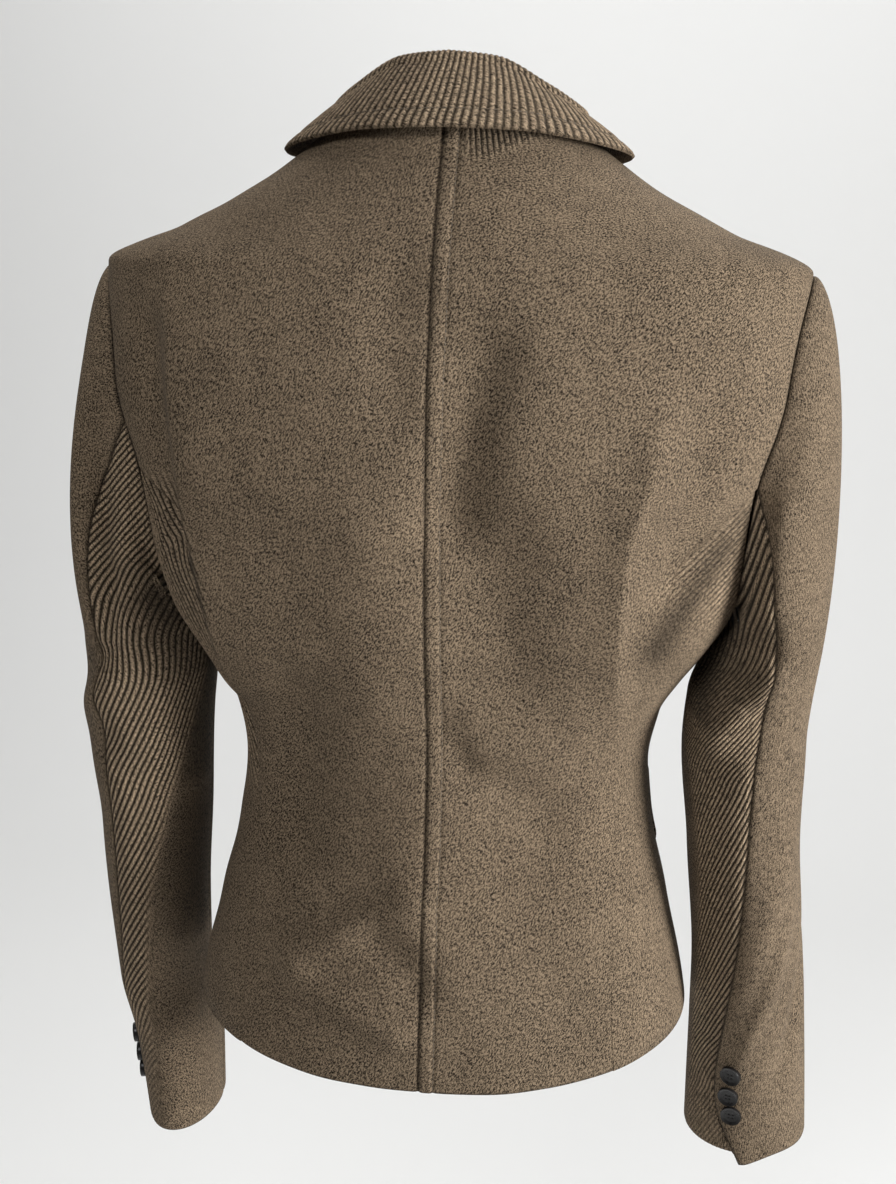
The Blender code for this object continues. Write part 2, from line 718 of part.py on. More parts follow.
def make_cuff_buttons(side, name, top_sleeve):
    keys = SLEEVES[side].keys
    for number, rise in enumerate(CUFF_BUTTON_RISES, 1):
        s = 1 + (keys[-1] - rise - keys[0]) / (keys[-1] - keys[0])
        turn = hind_turn(side, s) + CUFF_BUTTON_TURN
        point, normal = sleeve(side, s, turn), sleeve_normal(side, s, turn)
        make_button(f"{name}_{number}", top_sleeve, point, normal, CUFF_BUTTON_RADIUS)


def make_front_buttons(front):
    for number, z in enumerate(FRONT_BUTTON_LEVELS, 1):
        point, normal = body(math.pi, z), body_normal(math.pi, z)
        make_button(f"front_button_{number}", front, point, normal, FRONT_BUTTON_RADIUS)


for wearer_side, label in ((1, "left"), (-1, "right")):
    make_back(wearer_side, f"back_{label}")
    make_side(wearer_side, f"side_{label}")
    front = make_front(wearer_side, f"front_{label}")
    make_lapel(wearer_side, f"lapel_{label}")
    make_flap(wearer_side, f"flap_{label}")
    top_sleeve = make_sleeve(wearer_side, True, f"sleeve_top_{label}")
    make_sleeve(wearer_side, False, f"sleeve_under_{label}")
    make_cuff_buttons(wearer_side, f"cuff_button_{label}", top_sleeve)
make_collar("collar")
make_front_buttons(front)
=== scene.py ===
"""Looks of a short fitted wool blazer, laid out as an add-on and run as a script.

Every cloth piece is a thin shell on the form of its solid, with its creases, raised wales
and pressed seams.
Metres. +X is the wearer's left, +Y the back, +Z up.
"""

import math

import bmesh
import bpy
import numpy as np
from mathutils import Matrix, Vector


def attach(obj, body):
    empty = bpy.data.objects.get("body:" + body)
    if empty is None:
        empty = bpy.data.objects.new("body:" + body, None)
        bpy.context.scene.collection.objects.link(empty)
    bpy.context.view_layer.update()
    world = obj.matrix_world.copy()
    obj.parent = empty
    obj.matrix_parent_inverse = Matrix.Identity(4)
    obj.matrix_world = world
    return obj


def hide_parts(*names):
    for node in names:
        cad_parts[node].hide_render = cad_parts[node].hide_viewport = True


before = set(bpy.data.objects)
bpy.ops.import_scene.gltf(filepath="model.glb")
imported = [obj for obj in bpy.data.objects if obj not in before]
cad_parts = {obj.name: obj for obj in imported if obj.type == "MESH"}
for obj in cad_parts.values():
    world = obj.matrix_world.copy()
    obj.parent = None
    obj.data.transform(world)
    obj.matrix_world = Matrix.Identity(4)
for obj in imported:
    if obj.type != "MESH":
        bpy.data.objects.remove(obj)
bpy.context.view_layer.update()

bl_info = {
    "name": "Fitted wool blazer",
    "version": (1, 0, 0),
    "blender": (4, 5, 0),
    "location": "3D View > Sidebar > Blazer",
    "description": "Cloth pieces, stitching, buttons and studio of a short fitted wool blazer",
    "category": "Object",
}


def table_rows(columns, *values):
    """A short table with named columns, as one dict for each row."""
    return tuple(dict(zip(columns.split(), row)) for row in values)


class Table:
    """A short table with named columns, read along its first on a smooth curve that never overshoots."""

    def __init__(self, columns, *values):
        values = np.array(values, float)
        self.keys = values[:, 0]
        self.values = dict(zip(columns.split(), values.T))
        self.tangents = {name: self._tangents(column) for name, column in self.values.items()}

    def _tangents(self, column):
        slopes = np.diff(column) / np.diff(self.keys)
        before, after = slopes[:-1], slopes[1:]
        same_way = before * after > 0
        total = np.where(same_way, before + after, 1.0)
        middle = np.where(same_way, 2 * before * after / total, 0.0)
        return np.concatenate((slopes[:1], middle, slopes[-1:]))

    def read(self, column, key):
        key = np.clip(key, self.keys[0], self.keys[-1])
        i = np.clip(np.searchsorted(self.keys, key, side="right") - 1, 0, len(self.keys) - 2)
        step = self.keys[i + 1] - self.keys[i]
        t = (key - self.keys[i]) / step
        rise = (3 - 2 * t) * t * t
        values, tangents = self.values[column], self.tangents[column]
        bend = step * t * (1 - t) * (tangents[i] * (1 - t) - tangents[i + 1] * t)
        return values[i] * (1 - rise) + values[i + 1] * rise + bend


# Levels on the body and its armhole loop
NECK_BACK_RISE = 0.010
SHOULDER_TIP_Z = -0.0733
SIDE_BACK_TOP_Z = -0.190
WAIST_Z = -0.370
HEM_BACK_Z = -0.5465
HEM_SIDE_Z = -0.527
HEM_FRONT_Z = -0.540
ARMHOLE_Z = -0.173
ARMHOLE_HALF_HEIGHT = SHOULDER_TIP_Z - ARMHOLE_Z
ARMHOLE_BOTTOM_Z = ARMHOLE_Z - ARMHOLE_HALF_HEIGHT
ARMHOLE_HALF_DEPTH = 0.058
ARMHOLE_TUCK = 0.0003

# Fronts
SIDE_FRONT_ANGLE = math.radians(113)
FRONT_OVERLAP = 0.016
OVERLAP_LIFT = 0.0034
OVERLAP_REACH = 0.055
OVERLAP_EASE = 0.030
BREAK_Z = -0.300
ROLL_TOP_X = 0.060
ROLL_BOW = 0.9
ON_PANEL = 0.0009

# The body's outside: half width, and depth to the back and to the front, at each height
TORSO_POWER = 2.4
TORSO = Table(
    "z half_width back front",
    (-0.600, 0.162, 0.117, 0.112),
    (-0.530, 0.156, 0.113, 0.110),
    (-0.460, 0.141, 0.103, 0.104),
    (-0.410, 0.1295, 0.093, 0.099),
    (-0.370, 0.1255, 0.090, 0.098),
    (-0.335, 0.131, 0.096, 0.103),
    (-0.314, 0.1435, 0.102, 0.108),
    (-0.2726, 0.171, 0.114, 0.116),
    (-0.190, 0.192, 0.124, 0.116),
    (-0.140, 0.205, 0.122, 0.105),
    (-0.0733, 0.206, 0.104, 0.075),
    (-0.052, 0.160, 0.095, 0.065),
    (-0.028, 0.115, 0.083, 0.054),
    (0.000, 0.077, 0.067, 0.045),
    (0.030, 0.045, 0.056, 0.030),
)

# Long folds of the back: a line by height, with its own reach towards the mid line and away from it
FOLD_FADE_DEPTH = 0.030
FOLD_CREST = 0.0012
LEFT_FOLD = Table(
    "z x height",
    (-0.330, 0.1190, 0.0000),
    (-0.309, 0.1195, 0.0060),
    (-0.251, 0.1245, 0.0105),
    (-0.208, 0.1341, 0.0115),
    (-0.169, 0.1397, 0.0100),
    (-0.136, 0.1439, 0.0080),
    (-0.109, 0.1465, 0.0055),
    (-0.075, 0.1530, 0.0030),
    (-0.055, 0.1600, 0.0000),
)
RIGHT_RIDGE = Table(
    "z x height",
    (-0.360, -0.1060, 0.0000),
    (-0.336, -0.1055, 0.0028),
    (-0.294, -0.1039, 0.0058),
    (-0.268, -0.1042, 0.0066),
    (-0.226, -0.1065, 0.0076),
    (-0.203, -0.1109, 0.0080),
    (-0.181, -0.1179, 0.0068),
    (-0.159, -0.1211, 0.0040),
    (-0.125, -0.1260, 0.0000),
)
LINE_FOLDS = (
    dict(line=LEFT_FOLD, side=1, inner=0.034, outer=0.011, sharpness=1.15),
    dict(line=RIGHT_RIDGE, side=-1, inner=0.013, outer=0.010, sharpness=1.2),
)

# Shorter folds of the body between two points, on the back and on the front
BACK_FOLDS = table_rows(
    "x0 z0 x1 z1 height width",
    (0.164, -0.112, 0.150, -0.225, -0.0085, 0.013),
    (-0.152, -0.150, -0.136, -0.235, -0.0055, 0.015),
    (-0.1536, -0.058, -0.1545, -0.078, -0.0009, 0.0025),
    (0.1075, -0.191, 0.1125, -0.275, -0.0004, 0.0050),
    (-0.0330, -0.118, -0.0135, -0.206, -0.0056, 0.0165),
    (0.0200, -0.086, 0.0170, -0.145, -0.0032, 0.016),
    (-0.0160, -0.110, -0.0160, -0.200, -0.0038, 0.020),
    (-0.0200, -0.205, -0.0330, -0.290, -0.0058, 0.030),
    (0.0300, -0.225, 0.0300, -0.310, 0.0036, 0.028),
    (-0.0420, -0.215, -0.0520, -0.300, -0.0046, 0.025),
    (0.0070, -0.380, 0.0050, -0.470, 0.0068, 0.034),
    (0.0760, -0.312, 0.079, -0.402, -0.0056, 0.018),
    (-0.0110, -0.325, -0.0190, -0.350, -0.0030, 0.011),
    (-0.022, -0.356, -0.070, -0.378, -0.0036, 0.014),
    (0.0791, -0.472, 0.0083, -0.4363, 0.0046, 0.012),
    (0.074, -0.4856, 0.0169, -0.5105, 0.0042, 0.012),
    (0.0258, -0.4574, 0.0031, -0.4802, -0.0060, 0.014),
    (-0.058, -0.395, -0.084, -0.510, -0.0052, 0.032),
)
FRONT_FOLDS = table_rows(
    "x0 z0 x1 z1 height width",
    (0.100, -0.150, 0.060, -0.235, -0.0022, 0.018),
    (-0.100, -0.150, -0.064, -0.250, -0.0020, 0.017),
    (0.020, -0.330, 0.086, -0.300, 0.0020, 0.009),
    (-0.020, -0.332, -0.080, -0.306, 0.0022, 0.009),
    (0.060, -0.450, 0.050, -0.530, -0.0018, 0.016),
)

# The cloth's slow unevenness, as waves that cross the body and run down the sleeves
UNEVEN = 0.0005
UNEVEN_WAVES = table_rows(
    "x z start",
    (57.0, 23.0, 1.3),
    (-31.0, 64.0, 0.4),
    (88.0, -41.0, 2.2),
)

# Sleeves below the armpit: the tube's axis and half sizes, and the turns of its two seams in degrees
LEFT_SLEEVE = Table(
    "drop x y half_width half_depth hind fore",
    (0.300, 0.1940, 0.000, 0.0360, 0.058, 31, 236),
    (0.325, 0.19075, 0.000, 0.03975, 0.057, 30, 248),
    (0.355, 0.19175, 0.000, 0.03825, 0.056, 28, 256),
    (0.420, 0.1925, -0.008, 0.0345, 0.054, 26, 258),
    (0.490, 0.1960, -0.022, 0.0310, 0.051, 29, 258),
    (0.547, 0.1970, -0.034, 0.0290, 0.049, 42, 258),
    (0.600, 0.1900, -0.042, 0.0270, 0.048, 50, 258),
    (0.660, 0.1880, -0.048, 0.0240, 0.046, 62, 258),
)
RIGHT_SLEEVE = Table(
    "drop x y half_width half_depth hind fore",
    (0.300, 0.1910, 0.000, 0.0345, 0.058, 6, 236),
    (0.325, 0.1850, 0.000, 0.0375, 0.057, 9, 248),
    (0.355, 0.1830, 0.000, 0.0375, 0.056, 6.5, 256),
    (0.424, 0.1870, -0.006, 0.0350, 0.053, -1, 258),
    (0.498, 0.1945, -0.016, 0.0355, 0.049, -18, 258),
    (0.545, 0.1970, -0.022, 0.0370, 0.046, -29, 258),
    (0.587, 0.1990, -0.028, 0.0385, 0.044, -38, 258),
    (0.634, 0.2010, -0.034, 0.0400, 0.042, -14, 258),
)
SLEEVES = {1: LEFT_SLEEVE, -1: RIGHT_SLEEVE}
HIND_ON_CAP = {
    1: Table("s turn", (0.0, 4.5), (0.15, 2.3), (0.3, 4.0), (0.5, 13.5), (0.7, 24.5), (1.0, 31)),
    -1: Table("s turn", (0.0, -11), (0.15, -17.8), (0.3, -19.5), (0.5, -16.2), (0.7, -10), (1.0, 6)),
}
FORE_AT_ARMHOLE = 222
CAP_REACH_TOP = 0.022
CAP_REACH_ARMPIT = 0.011
CAP_DROP_TOP = 0.085
CAP_DROP_ARMPIT = 0.013
CAP_RISE_TOP = -0.007
CAP_RISE_ARMPIT = 0.003
CAP_SLOPE_STEP = 0.01
CUFF_CORNER = 0.010
UNDER_CORNER = 0.002
CUFF_CORNER_TURN = 28
VENT_START = 1.75
VENT_TURN = 7
VENT_LAP_TURN = 9
VENT_LAP_DEPTH = 0.0030
VENT_LAP_FADE = 2.0
VENT_LAP_RATE = 40

# The sleeves' folds: where each is centred, how far out it stands and how far it spreads
SLEEVE_FOLDS = table_rows(
    "side drop turn lean height along around",
    (1, 0.305, 20, 0.0004, -0.0065, 0.012, 34),
    (1, 0.335, 30, 0.0004, 0.0050, 0.014, 38),
    (1, 0.375, 0, -0.0005, -0.0040, 0.016, 40),
    (1, 0.575, -30, 0.0003, 0.0040, 0.016, 45),
    (1, 0.440, 95, 0.0006, -0.0022, 0.020, 40),
    (1, 0.330, 150, -0.0006, -0.0025, 0.014, 42),
    (-1, 0.315, -10, 0.0004, -0.0050, 0.014, 36),
    (-1, 0.345, -30, 0.0006, 0.0040, 0.014, 40),
    (-1, 0.530, 55, -0.0015, -0.0045, 0.020, 30),
    (-1, 0.505, 20, -0.0018, 0.0040, 0.018, 30),
    (-1, 0.335, 160, 0.0006, -0.0025, 0.014, 42),
    (-1, 0.250, 75, 0.0010, -0.0018, 0.020, 26),
)
RIGHT_SLEEVE_RIDGE = Table(
    "drop turn height",
    (0.345, 66, 0.0000),
    (0.382, 54, 0.0022),
    (0.429, 36, 0.0034),
    (0.483, 9, 0.0030),
    (0.525, -12, 0.0016),
    (0.560, -20, 0.0000),
)
SLEEVE_RIDGE_TURN = 17

# Folds behind the armpits, between two points of the sleeve as seen from behind
ARMPIT_FOLDS = table_rows(
    "side x0 z0 x1 z1 height width",
    (1, 0.1690, -0.2740, 0.1840, -0.2660, -0.0120, 0.0120),
    (1, 0.1740, -0.2420, 0.1950, -0.2450, 0.0050, 0.0120),
    (1, 0.1780, -0.2940, 0.1920, -0.2870, 0.0035, 0.0100),
    (1, 0.2020, -0.2600, 0.2060, -0.2800, -0.0030, 0.0090),
    (-1, 0.1900, -0.2050, 0.1800, -0.2580, 0.0060, 0.0120),
    (-1, 0.1550, -0.3050, 0.1880, -0.2830, -0.0080, 0.0130),
    (-1, 0.1940, -0.3000, 0.1530, -0.3450, 0.0055, 0.0095),
    (-1, 0.1520, -0.3680, 0.1700, -0.3560, -0.0030, 0.0100),
)

# Where these folds begin along the sleeve, and how they and the shades fade towards the front
ARMPIT_FOLD_START = 0.4
BEHIND_FADE = 0.3
SHADE_ROUND = 0.2

# Hollows where the sleeves meet the body lie in deep shade, along lines as seen from behind
ARMPIT_SHADES = table_rows(
    "side x0 z0 x1 z1 height width",
    (1, 0.1790, -0.2720, 0.1680, -0.2890, 1.05, 0.0110),
    (1, 0.1720, -0.2860, 0.1550, -0.3200, 0.90, 0.0130),
    (1, 0.1535, -0.3150, 0.1560, -0.3900, 0.70, 0.0110),
    (1, 0.1640, -0.4200, 0.1790, -0.5700, 0.50, 0.0170),
    (-1, 0.1660, -0.2820, 0.1530, -0.3250, 1.05, 0.0140),
    (-1, 0.1560, -0.3170, 0.1760, -0.2990, 0.72, 0.0150),
    (-1, 0.1730, -0.3000, 0.1880, -0.2710, 0.42, 0.0085),
    (-1, 0.1500, -0.3300, 0.1490, -0.3900, 0.42, 0.0100),
)

# The body's own edge beside the right armpit lies in shade too
BODY_SHADES = table_rows(
    "side x0 z0 x1 z1 height width",
    (-1, 0.1615, -0.2210, 0.1260, -0.2800, 0.85, 0.0110),
)

# Collar round the neck by turn from the centre back: neck seam, roll and fall edge as radius and height
COLLAR = Table(
    "turn seam_out seam_up roll_out roll_up fall_out fall_up",
    (0, 0.0612, 0.0105, 0.0500, 0.0425, 0.0790, 0.0020),
    (30, 0.0660, 0.0088, 0.0520, 0.0400, 0.0830, 0.0010),
    (60, 0.0745, 0.0034, 0.0600, 0.0270, 0.0940, -0.0040),
    (90, 0.0745, 0.0006, 0.0690, 0.0165, 0.1020, -0.0095),
    (110, 0.0706, 0.0006, 0.0640, 0.0165, 0.0980, -0.0130),
    (122, 0.0640, 0.0006, 0.0630, 0.0160, 0.0970, -0.0210),
)
COLLAR_END = 122
COLLAR_WALES = 76
COLLAR_RIB = 0.8
COLLAR_SHADE = 0.3
WALE_LEAN = 9
WALE_LEAN_OVER_ROLL = 0.3
ROLL_RADIUS = 0.0055
FALL_BOW = 0.85
COLLAR_STITCH_RISE = 0.011
COLLAR_STITCH_SHARE = 0.3

# Lapels and pocket flaps
LAPEL = Table(
    "z width",
    (-0.232, 0.006),
    (-0.160, 0.050),
    (-0.095, 0.074),
    (-0.062, 0.068),
)
FLAP_TOP_Z = -0.385
FLAP_DEPTH = 0.050
FLAP_BACK_ANGLE = math.radians(103)
FLAP_FRONT_ANGLE = math.radians(143)

# Wales of the under sleeves: their lean by drop, and the turn where they give way to plain cloth in front
LEFT_WALES = Table(
    "drop lean plain_before",
    (0.150, 45, 225),
    (0.250, 50, 235),
    (0.290, 84, 262),
    (0.330, 68, 280),
    (0.373, 66, 299),
    (0.419, 65, 321),
    (0.475, 62, 338),
    (0.550, 56, 352),
    (0.660, 52, 372),
)
RIGHT_WALES = Table(
    "drop lean plain_before",
    (0.150, 76, 215),
    (0.280, 78, 235),
    (0.317, 52, 258),
    (0.338, 56, 270),
    (0.379, 62, 296),
    (0.438, 64, 300),
    (0.476, 64, 292),
    (0.550, 62, 284),
    (0.640, 60, 280),
)
SLEEVE_WALES = {1: LEFT_WALES, -1: RIGHT_WALES}
WALE_CLOSENESS = {1: 1.0, -1: 0.76}
BAND_CLOSENESS = 0.68
WALE_FADE_TURN = 14
WALE_REFERENCE_TURN = 330
CAP_WALES_END = (0.270, 0.340)
CUFF_FADE = {1: (0.540, 0.620), -1: (0.550, 0.640)}
CUFF_FADE_SHARE = 0.75
WALE_LEVELS = 400
SIDE_WALE_LEAN = 0.51
SIDE_WALE_SPREAD = 0.6
LEFT_SIDE_WALES_END = (-0.350, -0.400)
# Painted shade in the hollow behind the left fold, fading towards the armhole, and on the left side panel
HOLLOW_SHADE = 1.0
HOLLOW_EDGE_SHADE = 0.3
HOLLOW_REACH = (0.009, 0.022)
SIDE_SHADE = 0.55
LEFT_WALES_EDGE = 0.008
LEFT_BACK_WALES_ENDS = ((-0.185, -0.215), (-0.335, -0.300))

# The right side's band of wales: where its upper edge starts and runs to, and how it fades
BAND_START = (-0.1665, -0.1990)
BAND_END = (-0.1172, -0.2460)
BAND_FADE_IN = 0.008
BAND_DEPTH = 0.060
BAND_FADE_OUT = 0.030
BAND_LENGTH = 0.080
BAND_STRENGTH = 0.6
BAND_SHADE = 1.0
BAND_SHADE_RUN = 0.055
BAND_END_FADE = 0.050

# Wales left at the back neck under the collar's edge, right of the centre seam
NECK_WALES_TURNS = (-62, -7)
NECK_WALES_FADE = 8
NECK_WALES_OUT = (0.0745, 0.0800)
NECK_WALE_TURN = 2.4
NECK_SHADE = 0.75

# Pressed seams gather shade in a narrow line
SEAM_SHADE_DEPTH = 0.0012
SEAM_SHADE_WIDTH = 0.0011
GROOVE_SHADE = 0.15
VALLEY_SHARPNESS = 3

# How far and how wide free edges and stitched lines are pressed
FREE_EDGE = (0.0007, 0.0016)
LAID_EDGE = (0.0009, 0.0018)
COLLAR_EDGE = (0.0008, 0.0016)
BACK_GROOVE = (0.0007, 0.0011)
COLLAR_GROOVE = (0.0008, 0.0012)
CENTRE_SEAM_SHARE = (0.8, 0.7)

# The side back seam shows less low down, and the turned allowance lifts the strip beside the centre seam
FAINT_SEAM = (-0.300, -0.190)
FAINT_SEAM_SHARE = 0.2
RIGHT_SEAM_SHARE = 0.3
BACK_STRIP_RISE = 0.0006
BACK_STRIP_FADES = (0.0016, 0.0022)

# Points of each kind of piece across and along, and how much sparser its inside is
BACK_POINTS = (190, 110, 50, 136)
FRONT_POINTS = (130, 70, 36, 72)
SIDE_POINTS = (220, 160)
EDGE_SPACING = 0.8
SIDE_TOP_SPACING = 0.62
CAP_POINTS, TUBE_POINTS = 60, 250
UNDER_CAP_POINTS, UNDER_TUBE_POINTS = 110, 380
TOP_SLEEVE_POINTS = 96
UNDER_SLEEVE_POINTS = 128
COLLAR_POINTS_PER_WALE = 8
STAND_POINTS, ROLL_POINTS, FALL_POINTS = 8, 10, 32
LAPEL_POINTS = (96, 40)
FLAP_POINTS = (28, 60)
INSIDE_STEP = 4

# Small steps that slopes are measured over, and rounds of search for a meeting point
ANGLE_STEP = 0.002
HEIGHT_STEP = 0.001
HALVINGS = 40
LEVELLINGS = 6

# A button's insets as the way they face, their width by the radius and their depth by the thickness
BUTTON_INSETS = ((1, 0.24, 0.30), (1, 0.10, 0.06), (-1, 0.20, 0.0))
BUTTON_SIDES = 40
BUTTON_ROUNDING = 0.00022
HOLE_PLACE = 0.26
HOLE_RADIUS = 0.11
HOLE_SIDES = 12

# The middle of a cuff, which its buttons face away from
CUFF_MIDDLE = (0.195, -0.035)

# Lights as place, aim and size
GARMENT_MIDDLE = (0.0, 0.0, -0.28)
KEY_LIGHT = ((-1.9, 0.68, -0.05), GARMENT_MIDDLE, 0.7)
FILL_LIGHT = ((0.3, 1.8, 1.10), GARMENT_MIDDLE, 0.8)
BACKDROP_LIGHT = ((0.0, -1.0, 2.4), (0.0, -2.4, -1.0), 2.6)
AIR_COLOUR = (1.0, 0.99, 0.975, 1.0)

# Floor sweep
FLOOR_SIZE = 8.0
FLOOR_MIDDLE_Y = 2.0
SWEEP_RADIUS = 1.2
SWEEP_STEPS = 12
BACKDROP_HEIGHT = 5.0

# Camera at the photograph's angle
IMAGE_HEIGHT = 1184
FOCAL_PIXELS = 1600
SENSOR_HEIGHT = 36
CAMERA_PLACE = (-0.119, 0.955, -0.0485)
CAMERA_AZIMUTH, CAMERA_ELEVATION, CAMERA_ROLL = 187.2, 13.0, 1.0


class BlazerCloth(bpy.types.PropertyGroup):
    cloth_thickness: bpy.props.FloatProperty(
        name="Cloth thickness", description="Thickness of the body and sleeve cloth",
        default=0.0022, unit="LENGTH")
    collar_thickness: bpy.props.FloatProperty(
        name="Collar thickness", description="Thickness of the folded collar cloth",
        default=0.0026, unit="LENGTH")
    wale_pitch: bpy.props.FloatProperty(
        name="Wale pitch", description="Distance from one raised wale to the next",
        default=0.0041, unit="LENGTH")
    wale_height: bpy.props.FloatProperty(
        name="Wale height", description="How far a wale stands out of its valley",
        default=0.0007, unit="LENGTH")
    seam_depth: bpy.props.FloatProperty(
        name="Seam depth", description="How far a pressed seam sinks into the cloth",
        default=0.0012, unit="LENGTH")
    seam_width: bpy.props.FloatProperty(
        name="Seam width", description="How far from its line a pressed seam sinks",
        default=0.0022, unit="LENGTH")
    light_yarn: bpy.props.FloatVectorProperty(
        name="Light yarn", description="Colour of the wool's light fibres",
        default=(0.275, 0.205, 0.137), subtype="COLOR")
    dark_yarn: bpy.props.FloatVectorProperty(
        name="Dark yarn", description="Colour of the wool's dark fibres",
        default=(0.009, 0.0063, 0.0040), subtype="COLOR")
    thread: bpy.props.FloatVectorProperty(
        name="Thread", description="Colour of the sewing thread",
        default=(0.165, 0.130, 0.092), subtype="COLOR")


class BlazerTrim(bpy.types.PropertyGroup):
    cuff_button_radius: bpy.props.FloatProperty(
        name="Cuff button radius", description="Radius of the buttons on the cuff vents",
        default=0.0066, unit="LENGTH")
    front_button_radius: bpy.props.FloatProperty(
        name="Front button radius", description="Radius of the buttons on the front",
        default=0.010, unit="LENGTH")
    button_thickness: bpy.props.FloatProperty(
        name="Button thickness", description="Thickness of a button at its rim",
        default=0.0032, unit="LENGTH")
    stitch_length: bpy.props.FloatProperty(
        name="Stitch length", description="Length of one topstitch",
        default=0.0026, unit="LENGTH")
    stitch_pitch: bpy.props.FloatProperty(
        name="Stitch pitch", description="Distance from one topstitch to the next",
        default=0.0034, unit="LENGTH")
    stitch_radius: bpy.props.FloatProperty(
        name="Stitch radius", description="Radius of the sewing thread",
        default=0.00028, unit="LENGTH")
    back_stitch_offset: bpy.props.FloatProperty(
        name="Back stitch offset", description="Distance of the topstitch from the centre back seam",
        default=0.0088, unit="LENGTH")
    button_colour: bpy.props.FloatVectorProperty(
        name="Button colour", description="Colour of the button resin",
        default=(0.008, 0.0074, 0.0072), subtype="COLOR")


class BlazerStudio(bpy.types.PropertyGroup):
    key_power: bpy.props.FloatProperty(
        name="Key power", description="Power of the large light at the wearer's right",
        default=65.0, unit="POWER")
    fill_power: bpy.props.FloatProperty(
        name="Fill power", description="Power of the weaker light high behind the back",
        default=22.0, unit="POWER")
    backdrop_power: bpy.props.FloatProperty(
        name="Backdrop power", description="Power of the light that falls on the backdrop alone",
        default=72.0, unit="POWER")
    air: bpy.props.FloatProperty(
        name="Surrounding light", description="Strength of the even light from all round",
        default=0.05)
    floor_level: bpy.props.FloatProperty(
        name="Floor level", description="Height of the studio floor below the side neck points",
        default=-1.36, unit="LENGTH")
    pale: bpy.props.FloatVectorProperty(
        name="Pale ground", description="Colour of the floor and backdrop",
        default=(0.90, 0.90, 0.89), subtype="COLOR")


# Shapes shared by the pieces

def signed_power(value, exponent):
    return np.sign(value) * np.abs(value) ** exponent


def mix(a, b, t):
    return a + (b - a) * t


def ease(t):
    t = np.clip(t, 0.0, 1.0)
    return (3 - 2 * t) * t * t


def bell(distance, width):
    return np.exp(-((distance / width) ** 2))


def unit(vectors):
    return vectors / np.maximum(np.linalg.norm(vectors, axis=-1, keepdims=True), 1e-12)


def point_grid(x, y, z):
    return np.stack(np.broadcast_arrays(x, y, z), axis=-1)


def plain_body(angle, z):
    """The body before folds: angle 0 at the centre back, a quarter turn at the wearer's left."""
    depth = np.where(np.cos(angle) > 0, TORSO.read("back", z), TORSO.read("front", z))
    across = signed_power(np.sin(angle), 2 / TORSO_POWER)
    along = signed_power(np.cos(angle), 2 / TORSO_POWER)
    return point_grid(TORSO.read("half_width", z) * across, depth * along, z)


def plain_body_normal(angle, z):
    across = plain_body(angle + ANGLE_STEP, z) - plain_body(angle - ANGLE_STEP, z)
    along = plain_body(angle, z + HEIGHT_STEP) - plain_body(angle, z - HEIGHT_STEP)
    return unit(np.cross(along, across))


def line_fold_height(fold, x, z):
    line = fold["line"]
    off = (x - line.read("x", z)) * fold["side"]
    share = np.hypot(off, FOLD_CREST) / np.where(off > 0, fold["outer"], fold["inner"])
    inside = (z > line.keys[0]) & (z < line.keys[-1])
    return np.where(inside, line.read("height", z) * np.exp(-share ** fold["sharpness"]), 0.0)


def body_fold_height(fold, x, z):
    run_x, run_z = fold["x1"] - fold["x0"], fold["z1"] - fold["z0"]
    t = ((x - fold["x0"]) * run_x + (z - fold["z0"]) * run_z) / (run_x ** 2 + run_z ** 2)
    t = np.clip(t, 0.0, 1.0)
    away = np.hypot(x - fold["x0"] - run_x * t, z - fold["z0"] - run_z * t)
    return fold["height"] * bell(away, fold["width"])


def uneven(x, z):
    total = np.ones_like(x)
    for wave in UNEVEN_WAVES:
        total = total * np.sin(wave["x"] * x + wave["z"] * z + wave["start"])
    return UNEVEN * total


def body(angle, z):
    """The body's outside with its folds."""
    point, normal = plain_body(angle, z), plain_body_normal(angle, z)
    x, y = point[..., 0], point[..., 1]
    behind = sum(line_fold_height(fold, x, z) for fold in LINE_FOLDS)
    for fold in BACK_FOLDS:
        behind = behind + body_fold_height(fold, x, z)
    ahead = sum(body_fold_height(fold, x, z) for fold in FRONT_FOLDS)
    height = behind * ease(y / FOLD_FADE_DEPTH) + ahead * ease(-y / FOLD_FADE_DEPTH) + uneven(x, z)
    return point + normal * height[..., None]


def angle_at_x(x, z, front=False):
    share = signed_power(x / TORSO.read("half_width", z), TORSO_POWER / 2)
    angle = np.arcsin(np.clip(share, -1.0, 1.0))
    return math.pi - angle if front else angle


def armhole_angle(z, front=False):
    """The angle of the armhole's edge at one height, on its back or front side."""
    level = np.clip(np.abs(z - ARMHOLE_Z) / ARMHOLE_HALF_HEIGHT, 0.0, 1.0)
    half_depth = ARMHOLE_HALF_DEPTH * np.sqrt(1 - level * level)
    depth = TORSO.read("front" if front else "back", z)
    angle = np.arccos(np.clip((half_depth / depth) ** (TORSO_POWER / 2), 0.0, 1.0))
    return math.pi - angle if front else angle


SIDE_BACK_SEAM = Table(
    "z x",
    (-0.600, 0.118),
    (-0.527, 0.113),
    (-0.416, 0.108),
    (-0.358, 0.110),
    (-0.323, 0.117),
    (-0.252, 0.132),
    (-0.223, 0.145),
    (SIDE_BACK_TOP_Z, plain_body(armhole_angle(SIDE_BACK_TOP_Z), SIDE_BACK_TOP_Z)[0]),
)


def centre_angle(z):
    return np.zeros_like(z)


def side_back_angle(z):
    below = angle_at_x(SIDE_BACK_SEAM.read("x", z), z)
    beside = np.where(z >= SHOULDER_TIP_Z, math.pi / 2, armhole_angle(z))
    return np.where(z >= SIDE_BACK_TOP_Z, beside, below)


